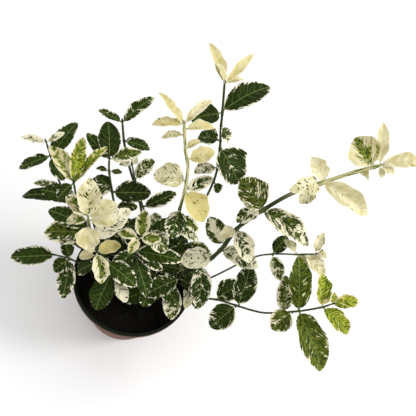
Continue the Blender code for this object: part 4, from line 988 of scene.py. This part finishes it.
# The cream falls in patches, broken at their edges into splashes that are drawn out along the side
# veins. A look's cover, a patch, a splash and the pale edge add up, and cream starts where they
# reach 1. A green heart takes away from them, and a pale one adds to them.
patch_at = add(tree, "VectorMath", {0: veins_at, 1: PATCHES}, operation="MULTIPLY")
patch = add(tree, "TexNoise", {"Vector": patch_at, "Scale": 1.0, "Detail": 1.0})
patch = add(tree, "MapRange", {0: patch, 1: 0.32, 2: 0.68})
splash_at = add(tree, "VectorMath", {0: veins_at, 1: SPLASHES}, operation="MULTIPLY")
splash = add(tree, "TexNoise", {"Vector": splash_at, "Scale": 1.0, "Detail": 2.0, "Roughness": 0.6,
                                "Distortion": 1.0})
splash = add(tree, "MapRange", {0: splash, 1: 0.3, 2: 0.7})
pale_edge = add(tree, "MapRange", {0: from_edge, 1: 3.0, 2: 0.0})
breaks_at = add(tree, "VectorMath", {0: veins_at, 1: EDGE_BREAKS, 2: (31.0, 17.0, 5.0)},
                operation="MULTIPLY_ADD")
breaks = add(tree, "TexNoise", {"Vector": breaks_at, "Scale": 1.0, "Detail": 1.0})
breaks = add(tree, "MapRange", {0: breaks, 1: 0.38, 2: 0.58, 3: 0.15, 4: 1.0})
pale_edge = add(tree, "Math", {0: pale_edge, 1: breaks}, operation="MULTIPLY")
pale_edge = add(tree, "Math", {0: pale_edge, 1: margin}, operation="MULTIPLY")
core = add(tree, "MapRange", {0: side, 1: 0.6, 2: 0.0})
core = add(tree, "Math", {0: core, 1: heart}, operation="MULTIPLY")
value = add(tree, "Math", {0: patch, 1: PATCH_WEIGHT, 2: cover}, operation="MULTIPLY_ADD")
value = add(tree, "Math", {0: splash, 1: SPLASH_WEIGHT, 2: value}, operation="MULTIPLY_ADD")
value = add(tree, "Math", {0: value, 1: pale_edge}, operation="ADD")
value = add(tree, "Math", {0: value, 1: core}, operation="SUBTRACT")
cream = add(tree, "MapRange", {0: value, 1: 0.985, 2: 1.015})
grey = add(tree, "MapRange", {0: value, 1: 0.88, 2: 1.0, 4: 0.5})
grey = add(tree, "Math", {0: grey, 1: cream}, operation="SUBTRACT", use_clamp=True)

# Flecks are green dots left in the cream.
flecks_at = add(tree, "VectorMath", {0: veins_at, 1: FLECKS}, operation="MULTIPLY")
dots = add(tree, "TexNoise", {"Vector": flecks_at, "Scale": 1.0, "Detail": 1.0})
fleck_limit = add(tree, "MapRange", {0: fleck, 3: 0.78, 4: 0.59})
dots = add(tree, "Math", {0: dots, 1: fleck_limit}, operation="SUBTRACT")
dots = add(tree, "MapRange", {0: dots, 1: 0.0, 2: 0.02})
cream = add(tree, "Math", {0: cream, 1: dots}, operation="SUBTRACT", use_clamp=True)

# Side veins leave the midrib at a slant every few millimetres and fade before the edge. They are
# about 0.3 mm wide, drawn 0.5 mm wide here so that they show. A fine net lies between them.
between = add(tree, "Math", {0: spacing, 1: 0.5}, operation="MULTIPLY")
side_vein = add(tree, "Math", {0: q, 1: between}, operation="PINGPONG")
side_vein = add(tree, "MapRange", {0: side_vein, 1: 0.34, 2: 0.12})
fade = add(tree, "MapRange", {0: side, 1: 0.9, 2: 0.3, 3: 0.0, 4: 0.7})
side_vein = add(tree, "Math", {0: side_vein, 1: fade}, operation="MULTIPLY")
away = add(tree, "Math", {0: across}, operation="ABSOLUTE")
midrib = add(tree, "MapRange", {0: away, 1: 0.5, 2: 0.25})
vein = add(tree, "Math", {0: side_vein, 1: midrib}, operation="MAXIMUM")
net = add(tree, "TexVoronoi", {"Vector": veins_at, "Scale": NET_CELLS}, feature="DISTANCE_TO_EDGE")
net = add(tree, "MapRange", {0: net, 1: 0.14, 2: 0.02})

# The green varies with the splashes and from leaf to leaf, and the cream with the patches.
shade = add(tree, "MapRange", {0: splash, 1: 0.25, 2: 0.9, 3: -0.2, 4: 0.8})
own = add(tree, "TexWhiteNoise", {"W": seed}, "Value", noise_dimensions="1D")
shade = add(tree, "Math", {0: own, 1: 0.5, 2: shade}, operation="MULTIPLY_ADD")
green = add(tree, "Mix", {0: shade, 6: LEAF_DARK, 7: LEAF_GREEN}, 2, data_type="RGBA")
streak = add(tree, "MapRange", {0: splash, 1: 0.4, 2: 0.6})
limes = add(tree, "Mix", {0: streak, 6: LEAF_LIME, 7: LEAF_LIME_PALE}, 2, data_type="RGBA")
green = add(tree, "Mix", {0: lime, 6: green, 7: limes}, 2, data_type="RGBA")
greyed = add(tree, "Mix", {0: lime, 6: LEAF_GREY, 7: LEAF_LIME_PALE}, 2, data_type="RGBA")
green = add(tree, "Mix", {0: grey, 6: green, 7: greyed}, 2, data_type="RGBA")
net_part = add(tree, "Math", {0: net, 1: 0.12}, operation="MULTIPLY")
vein_part = add(tree, "Math", {0: vein, 1: 0.55}, operation="MULTIPLY")
vein_part = add(tree, "Math", {0: vein_part, 1: net_part}, operation="MAXIMUM")
green = add(tree, "Mix", {0: vein_part, 6: green, 7: LEAF_VEIN}, 2, data_type="RGBA")
pale = add(tree, "Mix", {0: patch, 6: LEAF_CREAM, 7: LEAF_IVORY}, 2, data_type="RGBA")
aged = add(tree, "MapRange", {0: young, 3: 0.6, 4: 0.05})
pale = add(tree, "Mix", {0: aged, 6: pale, 7: LEAF_WHITE}, 2, data_type="RGBA")
pale = add(tree, "Mix", {0: yellow, 6: pale, 7: LEAF_YELLOW}, 2, data_type="RGBA")
pale_vein = add(tree, "Math", {0: vein, 1: 0.2}, operation="MULTIPLY")
pale = add(tree, "Mix", {0: pale_vein, 6: pale, 7: LEAF_VEIN}, 2, data_type="RGBA")
# A painted highlight: the cream whitens towards the leaf's edge, within 0.9 mm of it.
edge_highlight = add(tree, "MapRange", {0: from_edge, 1: 0.9, 2: 0.2, 3: 0.0, 4: 0.7})
pale = add(tree, "Mix", {0: edge_highlight, 6: pale, 7: LEAF_EDGE_HIGHLIGHT}, 2, data_type="RGBA")
upper = add(tree, "Mix", {0: cream, 6: green, 7: pale}, 2, data_type="RGBA")
below = add(tree, "Math", {0: under, 1: 0.45}, operation="MULTIPLY")
relief = add(tree, "Math", {0: vein, 1: -0.7, 2: net}, operation="MULTIPLY_ADD")
feed(tree, shader, {
    "Base Color": add(tree, "Mix", {0: below, 6: upper, 7: LEAF_UNDER}, 2, data_type="RGBA"),
    "Roughness": add(tree, "MapRange", {0: cream, 3: 0.42, 4: 0.55}),
    "Normal": add(tree, "Bump", {"Height": relief, "Strength": 0.35, "Distance": 0.2 * MM}),
    "IOR": 1.45, "Specular IOR Level": 0.06,
    "Subsurface Weight": 0.06, "Subsurface Radius": (1.0, 1.0, 0.35), "Subsurface Scale": 0.4 * MM,
})

settled = settle_leaves()
for number, (name, leaves) in enumerate(settled.items()):
    blades = [leaf_surface(base, row, 100 * number + i) for i, (base, row) in enumerate(leaves)]
    points, faces = joined(blades)
    foliage = new_piece(f"{name}_leaves", points * MM, faces, [leaf])
    give(foliage, blades, ("veins", "shape", "colouring", "tone", "build"))
    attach(foliage, "root")
    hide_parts(name)

# The stems. Each follows its shoot's route, a little square in section and swollen at each joint.
# The wood is brown at the foot, then green, and on pale shoots cream with green lines. Each leaf has
# a small pointed bud in its corner, and a tuft of leaves hides a larger one at the tip.
STEM_RING = 2.4
STEM_AROUND = 12
STEM_SQUARE = 0.06
STEM_STEPS = 40
STEM_END = 0.6
JOINT_SWELL = 0.28
JOINT_LENGTH = 1.5
PALE_FADE = 0.12
BUD_LENGTH = 2.6
BUD_WIDTH = 1.5
BUD_LEAN = 0.8
BUD_SUNK = 0.15
BUD_RINGS = 7
TIP_BUD = 5.5
TIP_BUD_GIRTH = 1.3
FULL_LEAF = 35
# A level direction that no stem or bud runs quite along, from which their rings are set out.
LEVEL_ASKEW = (0.7071, -0.7071, 0.0)
TWIG_GREEN = "#26330f"
TWIG_LIGHT = "#55652c"
TWIG_BROWN = "#3a2f1c"
TWIG_CREAM = "#c9c28e"
TWIG_STRIPE = "#5f7430"
# Bark lines are about 0.6 of the stem's radius wide and 14 mm long, and the cork's grain is 0.7 mm.
BARK_LINES = (1.6, 1.6, 0.07)
CORK_GRAIN = 1.5


def tube_along(centres, radii, around, squareness=0.0):
    """A closed tube: at each centre a ring across the path, r (1 + squareness cos 4a) times
    (cos a N + sin a B), N and B being the unit vectors across the path's direction."""
    path = np.gradient(centres, axis=0)
    path /= np.linalg.norm(path, axis=1, keepdims=True)
    normal = np.cross(path, np.array(LEVEL_ASKEW))
    normal /= np.linalg.norm(normal, axis=1, keepdims=True)
    other = np.cross(path, normal)
    angle = np.arange(around) * 2 * np.pi / around
    wide = radii[:, None] * (1 + squareness * np.cos(4 * angle))
    points = (centres[:, None] + (wide * np.cos(angle))[..., None] * normal[:, None]
              + (wide * np.sin(angle))[..., None] * other[:, None])
    return points, angle


def stem_surface(shoot, leaves):
    """The stem's tube and its buds, with what its material reads: the angle round it and the distance
    along it, and how pale and how far up it is there. The radius shrinks evenly to the tip and is
    multiplied at each joint by 1 + swell exp(-(distance / length)^2). A bud's radius goes as the
    root of sin(pi u^0.75), u running from its base to its point."""
    route = shoot["route"]
    joints = np.concatenate([[0.0], np.linspace(1, len(route) - 1, STEM_STEPS * (len(route) - 1))])
    fine = np.array([route_point(route, joint) for joint in joints])
    run = np.concatenate([[0], np.cumsum(np.linalg.norm(np.diff(fine, axis=0), axis=1))])
    distance = np.linspace(0, run[-1], round(run[-1] / STEM_RING))
    centres = np.stack([np.interp(distance, run, fine[:, i]) for i in range(3)], 1)
    above = np.clip((distance - run[1]) / (run[-1] - run[1]), 0, 1)
    radii = shoot["thickness"] / 2 * (1 + (STEM_TIP - 1) * above)
    for joint in {row[0] for row in shoot["leaves"]}:
        near = distance - np.interp(joint, joints, run)
        radii = radii * (1 + JOINT_SWELL * np.exp(-((near / JOINT_LENGTH) ** 2)))
    radii[-1] *= STEM_END
    points, angle = tube_along(centres, radii, STEM_AROUND, STEM_SQUARE)
    quads, first, end = tube_faces(len(distance), STEM_AROUND)
    pale = np.clip((above - shoot.get("pale", 1.5)) / PALE_FADE, 0, 1)
    values = np.broadcast_arrays(np.cos(angle), np.sin(angle), distance[:, None], pale[:, None],
                                 above[:, None], 0.0)
    reads, state = [np.stack(three, -1).reshape(-1, 3) for three in (values[:3], values[3:])]
    made = [{"points": points.reshape(-1, 3), "faces": [quads, first, end], "reads": reads, "state": state}]
    level = np.linspace(0.02, 0.98, BUD_RINGS)
    tip_way = centres[-1] - centres[-3]
    buds = [(centres[-1], tip_way, TIP_BUD, BUD_WIDTH * TIP_BUD_GIRTH, pale[-1], 1.0)]
    for base, row in leaves:
        at = np.argmin(np.linalg.norm(centres - base, axis=1))
        way = centres[min(at + 1, len(centres) - 1)] - centres[max(at - 1, 0)]
        out = leaf_axes(*row[3:6])[0]
        size = BUD_LENGTH * (0.5 + 0.5 * min(row[1] / FULL_LEAF, 1))
        buds.append((base + out * radii[at] * 0.9, way / np.linalg.norm(way) + BUD_LEAN * out, size,
                     BUD_WIDTH * size / BUD_LENGTH, pale[at], above[at]))
    for base, way, size, wide, paleness, height in buds:
        spine = base + way / np.linalg.norm(way) * (level[:, None] - BUD_SUNK) * size
        girth = wide / 2 * np.sqrt(np.clip(np.sin(np.pi * level**0.75), 0, 1))
        bud, _ = tube_along(spine, girth, BUD_RINGS)
        quads, first, end = tube_faces(len(level), BUD_RINGS)
        bud = bud.reshape(-1, 3)
        made.append({"points": bud, "faces": [quads, first, end],
                     "reads": np.tile([0.0, 0.0, size], (len(bud), 1)),
                     "state": np.tile([paleness * 0.5, height, 0.0], (len(bud), 1))})
    return made


twig, tree, shader = new_material("green euonymus twig")
# Green bark, smooth and faintly lined, brown and corky at the foot, cream with green lines on the
# pale shoots.
reads_at, state_at = [add(tree, "Attribute", {}, "Vector", attribute_name=name)
                      for name in ("reads", "state")]
pale, above, _ = add(tree, "SeparateXYZ", {0: state_at}, None)
lines_at = add(tree, "VectorMath", {0: reads_at, 1: BARK_LINES}, operation="MULTIPLY")
lines = add(tree, "TexNoise", {"Vector": lines_at, "Scale": 1.0, "Detail": 3.0})
light = add(tree, "MapRange", {0: lines, 1: 0.48, 2: 0.66})
bark = add(tree, "Mix", {0: light, 6: TWIG_GREEN, 7: TWIG_LIGHT}, 2, data_type="RGBA")
woody = add(tree, "MapRange", {0: above, 1: 0.35, 2: 0.02, 3: 0.0, 4: 0.85})
bark = add(tree, "Mix", {0: woody, 6: bark, 7: TWIG_BROWN}, 2, data_type="RGBA")
stripe = add(tree, "MapRange", {0: lines, 1: 0.5, 2: 0.56})
striped = add(tree, "Mix", {0: stripe, 6: TWIG_CREAM, 7: TWIG_STRIPE}, 2, data_type="RGBA")
cork = add(tree, "TexNoise", {"Vector": reads_at, "Scale": CORK_GRAIN, "Detail": 4.0})
feed(tree, shader, {
    "Base Color": add(tree, "Mix", {0: pale, 6: bark, 7: striped}, 2, data_type="RGBA"),
    "Normal": add(tree, "Bump", {"Height": cork, "Strength": 0.4, "Distance": 0.2 * MM}),
    "Roughness": 0.5, "Specular IOR Level": 0.2,
})

for name, leaves in settled.items():
    tubes = stem_surface(SHOOTS[name], leaves)
    points, faces = joined(tubes)
    stem = new_piece(f"{name}_stem", points * MM, faces, [twig])
    give(stem, tubes, ("reads", "state"))
    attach(stem, "root")
    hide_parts(name)

# The setting. A wide white floor, a pale even surrounding, and one broad soft lamp high behind the
# plant to the right, as a window would be.
FLOOR_HALF = 6.0
FLOOR_DROP = 0.3 * MM
FLOOR_WHITE = "#fdfdfd"
LAMP_PLACE = (1.31, 0.52, 1.3)
LAMP_SIZE = 0.6
LAMP_POWER = 17
WORLD_LIGHT = 0.84
AIM = (0.02, 0.02, 0.12)

floor_mesh = bpy.data.meshes.new("floor")
floor_mesh.from_pydata([(x * FLOOR_HALF, y * FLOOR_HALF, -FLOOR_DROP)
                        for x, y in ((-1, -1), (1, -1), (1, 1), (-1, 1))], [], [(0, 1, 2, 3)])
floor = bpy.data.objects.new("floor", floor_mesh)
bpy.context.scene.collection.objects.link(floor)
paper, tree, shader = new_material("white paper floor")
feed(tree, shader, {"Base Color": FLOOR_WHITE, "Roughness": 0.9, "Specular IOR Level": 0.1})
floor_mesh.materials.append(paper)

world = bpy.data.worlds.new("world")
bpy.context.scene.world = world
world.use_nodes = True
world.node_tree.nodes["Background"].inputs["Color"].default_value = (1.0, 1.0, 1.0, 1.0)
world.node_tree.nodes["Background"].inputs["Strength"].default_value = WORLD_LIGHT
lamp_data = bpy.data.lights.new("soft lamp", "AREA")
lamp_data.shape = "DISK"
lamp_data.size = LAMP_SIZE
lamp_data.energy = LAMP_POWER
lamp = bpy.data.objects.new("soft lamp", lamp_data)
back = np.array(LAMP_PLACE) - np.array(AIM)
back /= np.linalg.norm(back)
right = np.cross((0.0, 0.0, 1.0), back)
right /= np.linalg.norm(right)
lamp_axes = np.column_stack([right, np.cross(back, right), back, np.array(LAMP_PLACE)])
lamp.matrix_world = Matrix([*lamp_axes.tolist(), [0, 0, 0, 1]])
bpy.context.scene.collection.objects.link(lamp)
bpy.context.scene.view_settings.view_transform = "Standard"
